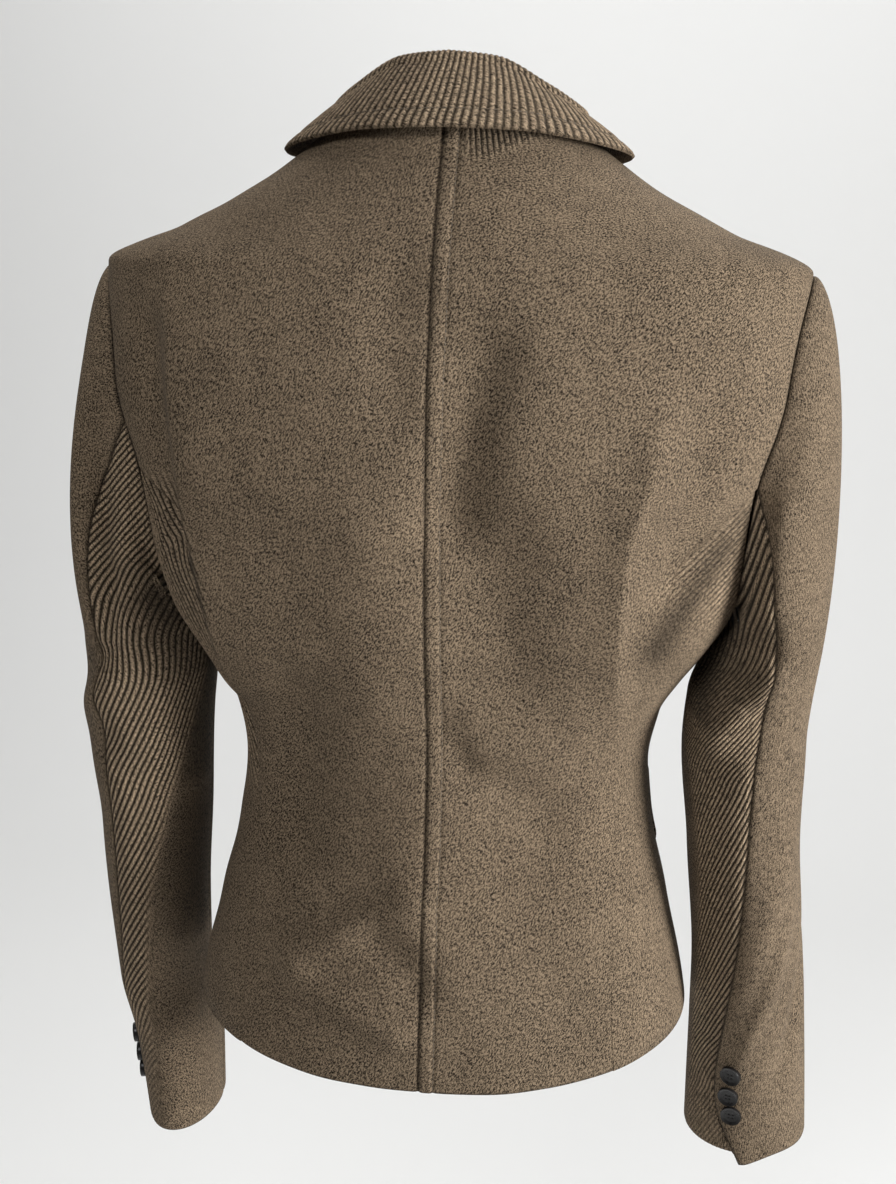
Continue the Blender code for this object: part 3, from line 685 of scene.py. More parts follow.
def side_front_top():
    """The height where the side front seam meets the armhole."""
    low, high = ARMHOLE_BOTTOM_Z, ARMHOLE_Z
    for _ in range(HALVINGS):
        middle = (low + high) / 2
        low, high = (middle, high) if armhole_angle(middle, True) < SIDE_FRONT_ANGLE else (low, middle)
    return low


SIDE_FRONT_TOP_Z = side_front_top()


def side_front_angle(z):
    beside = np.where(z >= SHOULDER_TIP_Z, math.pi / 2, armhole_angle(z, True))
    return np.where(z >= SIDE_FRONT_TOP_Z, beside, SIDE_FRONT_ANGLE)


def plain_side_front_angle(z):
    return np.full_like(z, SIDE_FRONT_ANGLE)


def roll_x(z):
    """The front edge's distance from the mid line: straight, then along the lapel's roll."""
    rise = np.clip((z - BREAK_Z) / -BREAK_Z, 0.0, 1.0)
    return mix(-FRONT_OVERLAP, ROLL_TOP_X, rise ** ROLL_BOW)


def front_edge_angle(z):
    return angle_at_x(roll_x(z), z, front=True)


def levelled(row_z, angle):
    """A row's height where it follows the hem's curve below the waist and the neckline's above the tips."""
    facing = np.cos(angle)
    hem_z = mix(HEM_SIDE_Z, np.where(facing > 0, HEM_BACK_Z, HEM_FRONT_Z), facing ** 2)
    low = (hem_z - HEM_BACK_Z) * (WAIST_Z - row_z) / (WAIST_Z - HEM_BACK_Z)
    high = NECK_BACK_RISE * facing ** 2 * (1 - row_z / SHOULDER_TIP_Z)
    rise = np.where((row_z > SHOULDER_TIP_Z) & (facing > 0), high, 0.0)
    return row_z + np.where(row_z < WAIST_Z, low, rise)


def between(edge_a, edge_b, u, row_z):
    """The angles and heights of points a share u of the way from one seam to the other."""
    z = row_z
    for _ in range(LEVELLINGS):
        angle = mix(edge_a(z), edge_b(z), u)
        z = levelled(row_z, angle)
    return angle, z


def armhole_rows(start, points):
    """Row heights from a seam's top up to the shoulder tip, closer where the armhole turns over."""
    t = np.linspace(0, 1, points + 1)[1:]
    return mix(start, SHOULDER_TIP_Z, np.sin(t * math.pi / 2))


def closer_at_edges(points):
    """Shares from 0 to 1 that lie closer together at both ends."""
    t = np.linspace(0, 1, points + 1)[None, :]
    return mix(t, ease(t), EDGE_SPACING)


def panel_rows(seam_top, low, middle, high):
    return np.concatenate((
        np.linspace(HEM_BACK_Z, seam_top, low + 1),
        armhole_rows(seam_top, middle),
        np.linspace(SHOULDER_TIP_Z, 0.0, high + 1)[1:],
    ))


def grid_normals(points, sign):
    rows, columns = np.gradient(points, axis=0), np.gradient(points, axis=1)
    return unit(np.cross(rows, columns)) * sign


def arcs(points, axis):
    """Distance along the cloth from its first row or column."""
    steps = np.linalg.norm(np.diff(points, axis=axis), axis=-1)
    start = np.zeros_like(np.take(steps, [0], axis=axis))
    return np.concatenate((start, np.cumsum(steps, axis=axis)), axis=axis)


class Cloth:
    """The points of one piece of cloth, with the relief and patterns that are laid on it."""

    def __init__(self, points, sign):
        self.points = points
        self.sign = sign
        self.normals = grid_normals(points, sign)
        self.across = arcs(points, 1)
        self.along = arcs(points, 0)
        self.relief = np.zeros(points.shape[:2])
        self.rib = np.zeros(points.shape[:2])
        # seam holds painted shade: along pressed seams, and in hollows, armpits and other places that lie
        # in shade
        self.seam = np.zeros(points.shape[:2])
        self.wale_map = np.stack((self.across, self.along), axis=-1)

    def edge_distance(self, edge):
        return {
            "first_column": self.across,
            "last_column": self.across[:, -1:] - self.across,
            "first_row": self.along,
            "last_row": self.along[-1:] - self.along,
        }[edge]

    def press(self, edge, depth, width):
        """Sinks the cloth towards a sewn edge, or rounds a free one, and paints shade along it."""
        self.relief -= depth * bell(self.edge_distance(edge), width)
        share = np.minimum(depth / SEAM_SHADE_DEPTH, 1.0)
        self.shade(share * bell(self.edge_distance(edge), SEAM_SHADE_WIDTH))

    def groove(self, distance, depth, width):
        self.relief -= depth * bell(distance, width)
        # Painted shade along the groove
        self.shade(GROOVE_SHADE * bell(distance, SEAM_SHADE_WIDTH))

    def shade(self, share):
        """Paints shade into the cloth's colour, as in a hollow."""
        self.seam = np.maximum(self.seam, share)

    def raise_wales(self, phase, run, rib, height):
        """Rounded wales with narrow valleys where rib is 1, told by their number and the run along them."""
        self.rib = np.clip(rib, 0.0, 1.0)
        self.wale_map = np.stack((phase, run), axis=-1)
        self.relief -= height * self.rib * np.abs(np.cos(math.pi * phase)) ** VALLEY_SHARPNESS

    def flat_size(self):
        """The cut before it was sewn: greatest width, length and area of the plain cloth."""
        a, b = self.points[1:, 1:] - self.points[:-1, :-1], self.points[1:, :-1] - self.points[:-1, 1:]
        area = np.linalg.norm(np.cross(a, b), axis=-1).sum() / 2
        return self.across[:, -1].max(), self.along[-1].max(), area


def kept(count):
    """The rows or columns that a sparser inside keeps, the first and last among them."""
    steps = max(1, round((count - 1) / INSIDE_STEP))
    return np.unique(np.round(np.linspace(0, count - 1, steps + 1)).astype(int))


def cloth_faces(rows, columns, keep_rows, keep_columns):
    """Faces of a fine outside, a sparser inside and the rim that joins them."""
    outer = np.arange(rows * columns).reshape(rows, columns)
    inner = np.arange(len(keep_rows) * len(keep_columns)).reshape(len(keep_rows), -1) + outer.size
    corners = (outer[:-1, :-1], outer[1:, :-1], outer[1:, 1:], outer[:-1, 1:])
    outside = np.stack(corners, axis=-1).reshape(-1, 4).tolist()
    corners = (inner[:-1, :-1], inner[:-1, 1:], inner[1:, 1:], inner[1:, :-1])
    inside = np.stack(corners, axis=-1).reshape(-1, 4).tolist()
    rim = []
    for line, lining, stops, forward in (
        (outer[0], inner[0], keep_columns, True),
        (outer[-1], inner[-1], keep_columns, False),
        (outer[:, 0], inner[:, 0], keep_rows, False),
        (outer[:, -1], inner[:, -1], keep_rows, True),
    ):
        for k, (start, stop) in enumerate(zip(stops, stops[1:])):
            face = line[start:stop + 1].tolist() + [int(lining[k + 1]), int(lining[k])]
            rim.append(face if forward else face[::-1])
    return outside + inside, rim


def make_cloth(name, node, cloth, thickness, material):
    """Builds a piece of cloth as a closed thin shell."""
    rows, columns = cloth.points.shape[:2]
    keep_rows, keep_columns = kept(rows), kept(columns)
    keep = np.ix_(keep_rows, keep_columns)
    outer = cloth.points + cloth.normals * cloth.relief[..., None]
    inner = (cloth.points - cloth.normals * thickness)[keep]
    smooth, rim = cloth_faces(rows, columns, keep_rows, keep_columns)
    faces = smooth + rim
    if cloth.sign < 0:
        faces = [face[::-1] for face in faces]
    mesh = bpy.data.meshes.new(name)
    mesh.from_pydata(np.concatenate((outer.reshape(-1, 3), inner.reshape(-1, 3))), [], faces)
    mesh.polygons.foreach_set("use_smooth", [True] * len(smooth) + [False] * len(rim))

    def both_sides(values, inside):
        shape = (-1, *values.shape[2:])
        return np.concatenate((values.reshape(shape), inside.reshape(shape)))

    corner = np.empty(len(mesh.loops), dtype=np.int32)
    mesh.loops.foreach_get("vertex_index", corner)
    weave = np.stack((-cloth.sign * cloth.across, cloth.along), axis=-1)
    for label, places in (("weave", weave), ("wales", cloth.wale_map)):
        layer = mesh.uv_layers.new(name=label)
        layer.uv.foreach_set("vector", both_sides(places, places[keep])[corner].astype(np.float32).ravel())
    # The seam attribute carries the painted shade into the material
    for label, values in (("rib", cloth.rib), ("seam", cloth.seam)):
        attribute = mesh.attributes.new(label, "FLOAT", "POINT")
        attribute.data.foreach_set("value", both_sides(values, 0 * values[keep]).astype(np.float32))
    mesh.materials.append(material)
    mesh.update()
    piece = bpy.data.objects.new(name, mesh)
    bpy.context.scene.collection.objects.link(piece)
    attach(piece, "root")
    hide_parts(node)
    width, length, area = cloth.flat_size()


# Sleeves

def sleeve_fold(side, drop, turn):
    total = np.zeros(np.broadcast(drop, turn).shape)
    for fold in SLEEVE_FOLDS:
        if fold["side"] != side:
            continue
        off = turn_from(turn, fold["turn"])
        along = (drop - fold["drop"] - fold["lean"] * off) / fold["along"]
        total = total + fold["height"] * np.exp(-along ** 2 - (off / fold["around"]) ** 2)
    if side < 0:
        off = turn_from(turn, RIGHT_SLEEVE_RIDGE.read("turn", drop))
        total = total + RIGHT_SLEEVE_RIDGE.read("height", drop) * bell(off, SLEEVE_RIDGE_TURN)
    return total


def tube(side, drop, turn, corner=0.0):
    """The sleeve below the armpit: turn 0 at the back, 90 outward, 180 at the front, 270 to the body."""
    ring = SLEEVES[side]
    swell = sleeve_fold(side, drop, turn)
    across, along = np.sin(np.radians(turn)), np.cos(np.radians(turn))
    x = ring.read("x", drop) + (ring.read("half_width", drop) + swell) * across
    y = ring.read("y", drop) + (ring.read("half_depth", drop) + swell) * along
    return point_grid(side * x, y, -drop - corner)


def armhole_point(side, turn):
    """The sleeve's first ring, just inside the armhole's loop on the body."""
    y = (ARMHOLE_HALF_DEPTH - ARMHOLE_TUCK) * np.cos(np.radians(turn))
    z = ARMHOLE_Z + (ARMHOLE_HALF_HEIGHT - ARMHOLE_TUCK) * np.sin(np.radians(turn))
    depth = np.abs(y) / np.where(y > 0, TORSO.read("back", z), TORSO.read("front", z))
    x = TORSO.read("half_width", z) * (1 - depth ** TORSO_POWER) ** (1 / TORSO_POWER)
    angle = angle_at_x(x, z)
    return body(side * np.where(y > 0, angle, math.pi - angle), z)


def vent_share(s):
    """How far down the vent a level of the sleeve lies, from 0 at its start to 1 at the cuff."""
    return ease((s - VENT_START) / (2 - VENT_START))


def sleeve_drop(side, s):
    """How far below the origin a level of the sleeve's tube lies."""
    keys = SLEEVES[side].keys
    return mix(keys[0], keys[-1], np.clip(s - 1, 0.0, 1.0))


def turn_from(turn, other):
    """The turn from one place round the arm to another, at most half a turn either way."""
    return (turn - other + 180) % 360 - 180


def sleeve(side, s, turn, corner):
    """The sleeve's outside: s from 0 at the armhole to 1 at the armpit, and on to 2 at the cuff."""
    top, drop = SLEEVES[side].keys[0], sleeve_drop(side, s)
    off = turn_from(turn, SLEEVES[side].read("hind", drop))
    near = np.where(off > 0, bell(off, CUFF_CORNER_TURN), 0.0)
    below = tube(side, drop, turn, corner * near * vent_share(s))
    rise = ((1 + np.sin(np.radians(turn))) / 2)[..., None]
    start, end = armhole_point(side, turn), tube(side, np.full_like(turn, top), turn)
    reach = mix(CAP_REACH_ARMPIT, CAP_REACH_TOP, rise[..., 0])
    leave = start + point_grid(side * reach, 0.0, mix(CAP_RISE_ARMPIT, CAP_RISE_TOP, rise[..., 0]))
    slope = (end - tube(side, np.full_like(turn, top + CAP_SLOPE_STEP), turn)) / CAP_SLOPE_STEP
    arrive = end + slope * mix(CAP_DROP_ARMPIT, CAP_DROP_TOP, rise)
    t = np.clip(s, 0.0, 1.0)[..., None]
    r = 1 - t
    cap = start * r ** 3 + leave * (3 * r * r * t) + arrive * (3 * r * t * t) + end * t ** 3
    return np.where((s > 1)[..., None], below, cap)


def hind_turn(side, s):
    """The turn of the seam at the back of the arm."""
    below = SLEEVES[side].read("hind", sleeve_drop(side, s))
    return np.where(s > 1, below, HIND_ON_CAP[side].read("turn", s))


def fore_turn(side, s):
    """The turn of the seam at the front of the arm, on the body's side."""
    below = SLEEVES[side].read("fore", sleeve_drop(side, s))
    return mix(FORE_AT_ARMHOLE, below, np.clip(s, 0.0, 1.0))


def armpit_lines(lines, side, points):
    """Heights of one side's folds or shades, which lie along lines as seen from behind."""
    x, z = side * points[..., 0], points[..., 2]
    return np.array([body_fold_height(line, x, z) for line in lines if line["side"] == side])


def sleeve_cloth(side, top):
    """The top or under sleeve, the under one carried on below the other at the vent."""
    cap, length = (CAP_POINTS, TUBE_POINTS) if top else (UNDER_CAP_POINTS, UNDER_TUBE_POINTS)
    s = np.concatenate((np.linspace(0, 1, cap + 1), np.linspace(1, 2, length + 1)[1:]))[:, None]
    hind, fore = hind_turn(side, s), fore_turn(side, s)
    if top:
        first, last = hind + VENT_TURN * vent_share(s), fore
    else:
        first, last = fore, hind + 360 + (VENT_TURN + VENT_LAP_TURN) * vent_share(s)
    count = TOP_SLEEVE_POINTS if top else UNDER_SLEEVE_POINTS
    turn = mix(first, last, np.linspace(0, 1, count)[None, :])
    s = np.broadcast_to(s, turn.shape)
    points = sleeve(side, s, turn, CUFF_CORNER if top else UNDER_CORNER)
    normals = grid_normals(points, -side)
    fold = armpit_lines(ARMPIT_FOLDS, side, points).sum(axis=0) * ease(s / ARMPIT_FOLD_START)
    fold = fold * ease(normals[..., 1] / BEHIND_FADE)
    cloth = Cloth(points + point_grid(0.0, fold, 0.0), -side)
    behind = ease((normals[..., 1] + SHADE_ROUND) / BEHIND_FADE)
    cloth.shade(armpit_lines(ARMPIT_SHADES, side, points).max(axis=0) * behind)
    if not top:
        under = ease((turn - hind - 360) / VENT_LAP_FADE) * ease((s - VENT_START) * VENT_LAP_RATE)
        cloth.points = cloth.points - cloth.normals * (VENT_LAP_DEPTH * under)[..., None]
    return cloth, turn


def sleeve_wales(cloth, side, turn, pitch, height):
    """Wales that lean with the sleeve's hang and give way to plain cloth in front and at the cuff."""
    table = SLEEVE_WALES[side]
    drop = -cloth.points[..., 2]
    levels = np.linspace(table.keys[0], table.keys[-1], WALE_LEVELS)
    slopes = 1 / np.tan(np.radians(table.read("lean", levels)))
    shift = np.concatenate(([0.0], np.cumsum((slopes[1:] + slopes[:-1]) / 2 * np.diff(levels))))
    start = np.array([
        np.interp(WALE_REFERENCE_TURN, turns, row) for turns, row in zip(turn, cloth.across)
    ])[:, None]
    round_arm = cloth.across - start
    ring = SLEEVES[side]
    inner = math.sin(math.radians(WALE_REFERENCE_TURN))
    level_out = side * cloth.points[..., 0] - ring.read("x", drop) - ring.read("half_width", drop) * inner
    below_cap = ease((drop - CAP_WALES_END[0]) / (CAP_WALES_END[1] - CAP_WALES_END[0]))
    phase = (mix(level_out, round_arm, below_cap) - side * np.interp(drop, levels, shift))
    phase = phase / (pitch * WALE_CLOSENESS[side])
    front = ease((turn - table.read("plain_before", drop)) / WALE_FADE_TURN)
    fade_from, fade_to = CUFF_FADE[side]
    rib = front * (1 - CUFF_FADE_SHARE * ease((drop - fade_from) / (fade_to - fade_from)))
    cloth.raise_wales(phase, cloth.along, rib, height)


# Collar

def collar_point(turn, part, t):
    cut = {name: COLLAR.read(name, np.abs(turn)) for name in COLLAR.values}
    top = cut["roll_up"] - ROLL_RADIUS
    if part == "stand":
        out = mix(cut["seam_out"], cut["roll_out"] - ROLL_RADIUS, t)
        up = mix(cut["seam_up"], top, t)
    elif part == "roll":
        arc = math.pi * (1 - t)
        out, up = cut["roll_out"] + ROLL_RADIUS * np.cos(arc), top + ROLL_RADIUS * np.sin(arc)
    else:
        out = mix(cut["roll_out"] + ROLL_RADIUS, cut["fall_out"], t ** FALL_BOW)
        up = mix(top, cut["fall_up"], t)
    return point_grid(out * np.sin(np.radians(turn)), out * np.cos(np.radians(turn)), up)


def collar_cloth():
    """The folded collar: up the stand, over the roll and down the fall, its wales leaning as they fall."""
    turn = np.linspace(-COLLAR_END, COLLAR_END, COLLAR_WALES * COLLAR_POINTS_PER_WALE + 1)[:, None]
    leaned = turn + WALE_LEAN * (1 - (turn / COLLAR_END) ** 2)
    over_roll = mix(turn, leaned, WALE_LEAN_OVER_ROLL)
    stand = np.linspace(0, 1, STAND_POINTS)[None, :-1]
    roll = np.linspace(0, 1, ROLL_POINTS)[None, :-1]
    fall = np.linspace(0, 1, FALL_POINTS)[None, :]
    points = np.concatenate((
        collar_point(turn + 0 * stand, "stand", stand + 0 * turn),
        collar_point(mix(turn, over_roll, roll), "roll", roll + 0 * turn),
        collar_point(mix(over_roll, leaned, fall), "fall", fall + 0 * turn),
    ), axis=1)
    return Cloth(points, 1), turn


# Materials

class Nodes:
    """Short calls for a material's node tree."""

    def __init__(self, name):
        self.material = bpy.data.materials.new(name)
        self.material.use_nodes = True
        self.tree = self.material.node_tree
        self.shader = self.tree.nodes["Principled BSDF"]

    def feed(self, socket, value):
        """Links a socket to another's output, or sets its value."""
        if isinstance(value, bpy.types.NodeSocket):
            self.tree.links.new(value, socket)
        else:
            socket.default_value = value

    def add(self, kind, inputs=None, **settings):
        node = self.tree.nodes.new(kind)
        for key, value in settings.items():
            setattr(node, key, value)
        for key, value in (inputs or {}).items():
            self.feed(node.inputs[key], value)
        return node

    def math(self, operation, a, b=0.0, c=0.0):
        return self.add("ShaderNodeMath", {0: a, 1: b, 2: c}, operation=operation).outputs[0]

    def noise(self, place, scale, detail, roughness=0.55):
        inputs = {"Vector": place, "Scale": scale, "Detail": detail, "Roughness": roughness}
        return self.add("ShaderNodeTexNoise", inputs).outputs["Fac"]

    def stretch(self, value, low, high):
        """A value spread so that low becomes 0 and high becomes 1."""
        inputs = {"Value": value, "From Min": low, "From Max": high}
        return self.add("ShaderNodeMapRange", inputs).outputs["Result"]

    def blend(self, share, a, b):
        node = self.add("ShaderNodeMix", {0: share, 6: a, 7: b}, data_type="RGBA")
        return node.outputs[2]

    def shade(self, **values):
        for key, value in values.items():
            self.feed(self.shader.inputs[key.replace("_", " ").title().replace("Ior", "IOR")], value)


def wool_material(name, cloth):
    """Heathered brushed wool: a fine slanting twill under loose fibres, and wales where rib is set, with
    painted highlight on their crowns, painted shade in their valleys and painted shade from the seam
    attribute.
    """
    n = Nodes(name)
    # deep is the colour of painted shade in wale valleys, along seams and in hollows
    light, dark, deep = (*cloth.light_yarn, 1.0), (*cloth.dark_yarn, 1.0), (0.010, 0.0075, 0.005, 1.0)
    # The colour of the painted highlight on the wale crowns
    crest_highlight = (*(2.4 * c for c in cloth.light_yarn), 1.0)
    weave = n.add("ShaderNodeUVMap", uv_map="weave").outputs["UV"]
    place = n.add("ShaderNodeTexCoord").outputs["Object"]
    slant = n.add("ShaderNodeMapping", {
        "Vector": weave, "Rotation": (0.0, 0.0, math.radians(57)), "Scale": (1 / 520, 1 / 1200, 1.0)},
        vector_type="TEXTURE")
    twill = n.noise(slant.outputs["Vector"], 1.0, 2.0, 0.6)
    fibres = n.noise(place, 1250.0, 2.0, 0.65)
    fleck = n.math("MULTIPLY_ADD", twill, 0.58, n.math("MULTIPLY", fibres, 0.42))
    fleck = n.stretch(fleck, 0.43, 0.57)
    mottle = n.stretch(n.noise(place, 95.0, 4.0, 0.62), 0.34, 0.66)
    slow = n.stretch(n.noise(place, 18.0, 2.0, 0.5), 0.33, 0.67)
    tone = n.math("MULTIPLY_ADD", fleck, 0.82, n.math("MULTIPLY", mottle, 0.12))
    tone = n.math("MULTIPLY_ADD", slow, 0.08, tone)
    hairs = n.stretch(n.noise(place, 1450.0, 1.0, 0.5), 0.57, 0.69)
    colour = n.blend(n.math("MULTIPLY_ADD", hairs, 0.45, n.math("SUBTRACT", tone, 0.07)), dark, light)

    rib = n.add("ShaderNodeAttribute", attribute_name="rib").outputs["Fac"]
    rows = n.add("ShaderNodeUVMap", uv_map="wales").outputs["UV"]
    number = n.add("ShaderNodeSeparateXYZ", {"Vector": rows}).outputs["X"]
    turn = n.math("ABSOLUTE", n.math("COSINE", n.math("MULTIPLY", number, math.pi)))
    wale = n.math("SUBTRACT", 1.0, n.math("POWER", turn, 3.4))
    knots = n.add("ShaderNodeMapping", {
        "Vector": rows, "Location": (-0.23, 0.0, 0.0), "Scale": (1.0, 1 / 0.0024, 1.0)})
    twist = n.add("ShaderNodeTexVoronoi", {
        "Vector": knots.outputs["Vector"], "Scale": 1.0, "Randomness": 0.55}, voronoi_dimensions="2D")
    knot = n.stretch(n.math("SUBTRACT", 1.0, twist.outputs["Distance"]), 0.42, 0.86)
    knot = n.math("MULTIPLY_ADD", fleck, 0.70, n.math("MULTIPLY", knot, 0.50))
    # Painted highlight on the wale crowns, broken up by the yarn's twist and flecks
    crown_highlight = n.math("MULTIPLY", n.math("MULTIPLY", rib, wale), n.math("MULTIPLY_ADD", knot, 1.25, -0.18))
    colour = n.blend(crown_highlight, colour, crest_highlight)
    # Painted shade in the wale valleys and from the seam attribute, mixed towards the deep colour
    valley = n.math("MULTIPLY", rib, n.math("SUBTRACT", 1.0, wale))
    seam = n.add("ShaderNodeAttribute", attribute_name="seam").outputs["Fac"]
    shaded = n.math("MAXIMUM", n.math("MULTIPLY", valley, 0.92), n.math("MULTIPLY", seam, 0.75))
    colour = n.blend(shaded, colour, deep)

    height = n.math("MULTIPLY_ADD", fleck, 0.20, n.math("MULTIPLY", mottle, 0.08))
    raised = n.math("MULTIPLY", wale, n.math("MULTIPLY_ADD", knot, 0.80, 0.20))
    height = n.math("MULTIPLY_ADD", raised, rib, height)
    bump = n.add("ShaderNodeBump", {"Strength": 1.0, "Distance": 0.0008, "Height": height})
    rough = n.math("MULTIPLY_ADD", mottle, 0.12, 0.86)
    n.shade(base_color=colour, roughness=rough, normal=bump.outputs["Normal"],
            sheen_weight=0.03, sheen_roughness=0.4, sheen_tint=(0.82, 0.74, 0.64, 1.0),
            specular_ior_level=0.10)
    return n.material


def thread_material(cloth):
    n = Nodes("sewing_thread")
    place = n.add("ShaderNodeTexCoord").outputs["Object"]
    fleck = n.noise(place, 2200.0, 2.0)
    shade = tuple(0.6 * c for c in cloth.thread)
    colour = n.blend(fleck, (*shade, 1.0), (*cloth.thread, 1.0))
    bump = n.add("ShaderNodeBump", {"Strength": 0.4, "Distance": 0.0001, "Height": fleck})
    rough = n.math("MULTIPLY_ADD", fleck, 0.2, 0.6)
    n.shade(base_color=colour, roughness=rough, normal=bump.outputs["Normal"])
    return n.material


def button_material(trim):
    """Dark resin with faint cloudy streaks and a worn, slightly glossy face."""
    n = Nodes("dark_resin")
    place = n.add("ShaderNodeTexCoord").outputs["Object"]
    streaks = n.noise(place, 320.0, 4.0, 0.6)
    specks = n.noise(place, 2600.0, 2.0)
    deep = tuple(0.45 * c for c in trim.button_colour)
    pale = tuple(2.4 * c for c in trim.button_colour)
    colour = n.blend(streaks, (*deep, 1.0), (*pale, 1.0))
    rough = n.math("MULTIPLY_ADD", streaks, 0.25, n.math("MULTIPLY_ADD", specks, 0.10, 0.12))
    bump = n.add("ShaderNodeBump", {"Strength": 0.15, "Distance": 0.0001, "Height": specks})
    n.shade(base_color=colour, roughness=rough, normal=bump.outputs["Normal"], specular_ior_level=0.28)
    return n.material


def ground_material(studio):
    n = Nodes("pale_ground")
    place = n.add("ShaderNodeTexCoord").outputs["Object"]
    cloud = n.noise(place, 1.2, 2.0)
    low = tuple(0.97 * c for c in studio.pale)
    n.shade(base_color=n.blend(cloud, (*low, 1.0), (*studio.pale, 1.0)), roughness=0.9)
    return n.material


def shared_material(name, make):
    return bpy.data.materials.get(name) or make()


def wool(cloth):
    return shared_material("heathered_flannel", lambda: wool_material("heathered_flannel", cloth))


def rib_wool(cloth):
    return shared_material("raised_rib", lambda: wool_material("raised_rib", cloth))


# Body pieces

SIDES = ((1, "left"), (-1, "right"))


def band_places(points):
    """Distance below and along the upper edge of the right side's band of wales."""
    start, end = np.array(BAND_START), np.array(BAND_END)
    run = unit(end - start)
    place = points[..., [0, 2]] - start
    below = -(place[..., 0] * -run[1] + place[..., 1] * run[0])
    return below, place @ run


def band_wales(cloth, pitch):
    below, along = band_places(cloth.points)
    rib = ease(below / BAND_FADE_IN) * ease((BAND_DEPTH - below) / BAND_FADE_OUT)
    rib = rib * ease((BAND_LENGTH - along) / BAND_END_FADE) * ease(cloth.points[..., 1] / FOLD_FADE_DEPTH)
    rib = BAND_STRENGTH * rib
    return below / (pitch * BAND_CLOSENESS), along, rib


def band_shade(along):
    return BAND_SHADE * (1 - ease(along / BAND_SHADE_RUN))


def shade_armpit(cloth, side):
    """Paints shade on the body's edge beside an armpit."""
    behind = ease(cloth.points[..., 1] / FOLD_FADE_DEPTH)
    cloth.shade(armpit_lines(BODY_SHADES, side, cloth.points).max(axis=0) * behind)


def side_wale_number(x, z, pitch):
    """Numbers the left side's slanting wales, evenly spaced as seen from behind."""
    return (x - SIDE_WALE_LEAN * z) * math.cos(math.atan(SIDE_WALE_LEAN)) / pitch


def seam_fading(side, z):
    """How much of the side-back seam still shows at a height, hardly any on the right."""
    share = mix(FAINT_SEAM_SHARE, 1.0, ease((z - FAINT_SEAM[0]) / (FAINT_SEAM[1] - FAINT_SEAM[0])))
    return share if side > 0 else RIGHT_SEAM_SHARE * share


def back_cloth(side, cloth_set, trim):
    low, middle, high, across = BACK_POINTS
    rows = panel_rows(SIDE_BACK_TOP_Z, low, middle, high)[:, None]
    u = closer_at_edges(across)
    angle, z = between(centre_angle, side_back_angle, u, rows + 0 * u)
    cloth = Cloth(body(side * angle, z), side)
    depth, width = CENTRE_SEAM_SHARE
    cloth.press("first_column", depth * cloth_set.seam_depth, width * cloth_set.seam_width)
    cloth.press("last_column", seam_fading(side, z) * cloth_set.seam_depth, cloth_set.seam_width)
    cloth.press("first_row", *FREE_EDGE)
    if side < 0:
        near, far = BACK_STRIP_FADES
        strip = ease(cloth.across / near) * ease((trim.back_stitch_offset - cloth.across) / far)
        cloth.relief += BACK_STRIP_RISE * strip
        cloth.groove(cloth.across - trim.back_stitch_offset, *BACK_GROOVE)
        phase, run, rib = band_wales(cloth, cloth_set.wale_pitch)
        x, y = cloth.points[..., 0], cloth.points[..., 1]
        turn, out = np.degrees(np.arctan2(x, y)), np.hypot(x, y)
        near, far = NECK_WALES_TURNS
        neck = ease((turn - near) / NECK_WALES_FADE) * ease((far - turn) / NECK_WALES_FADE)
        neck = neck * ease((NECK_WALES_OUT[1] - out) / (NECK_WALES_OUT[1] - NECK_WALES_OUT[0]))
        at_neck = z > SHOULDER_TIP_Z
        phase = np.where(at_neck, turn / NECK_WALE_TURN, phase)
        run = np.where(at_neck, out, run)
        cloth.raise_wales(phase, run, np.where(at_neck, neck, rib), 0.0)
        cloth.shade(np.where(at_neck, NECK_SHADE, band_shade(run)) * cloth.rib)
        shade_armpit(cloth, side)
    else:
        x = cloth.points[..., 0]
        out = x - LEFT_FOLD.read("x", z)
        rib = ease(out / LEFT_WALES_EDGE)
        for start, end in LEFT_BACK_WALES_ENDS:
            rib = rib * ease((z - start) / (end - start))
        cloth.raise_wales(side_wale_number(x, z, cloth_set.wale_pitch), cloth.along, rib, 0.0)
        near, far = HOLLOW_REACH
        cloth.shade(mix(HOLLOW_SHADE, HOLLOW_EDGE_SHADE, ease((out - near) / (far - near))) * rib)
    return cloth


class BLAZER_OT_backs(bpy.types.Operator):
    """Sew the two halves of the back"""

    bl_idname = "blazer.backs"
    bl_label = "Backs"

    def execute(self, context):
        cloth_set, trim = context.scene.blazer_cloth, context.scene.blazer_trim
        for side, label in SIDES:
            cloth = back_cloth(side, cloth_set, trim)
            make_cloth(f"back_panel_{label}", f"back_{label}", cloth, cloth_set.cloth_thickness,
                       wool(cloth_set))
        return {"FINISHED"}


def side_panel_tops(u):
    """The height where each column of the side panel runs into the armhole."""
    low, high = np.full_like(u, ARMHOLE_BOTTOM_Z), np.full_like(u, SIDE_BACK_TOP_Z)
    for _ in range(HALVINGS):
        z = (low + high) / 2
        depth = plain_body(mix(side_back_angle(z), SIDE_FRONT_ANGLE, u), z)[..., 1] / ARMHOLE_HALF_DEPTH
        level = (z - ARMHOLE_Z) / ARMHOLE_HALF_HEIGHT
        outside = depth ** 2 + level ** 2 > 1
        low, high = np.where(outside, z, low), np.where(outside, high, z)
    return low


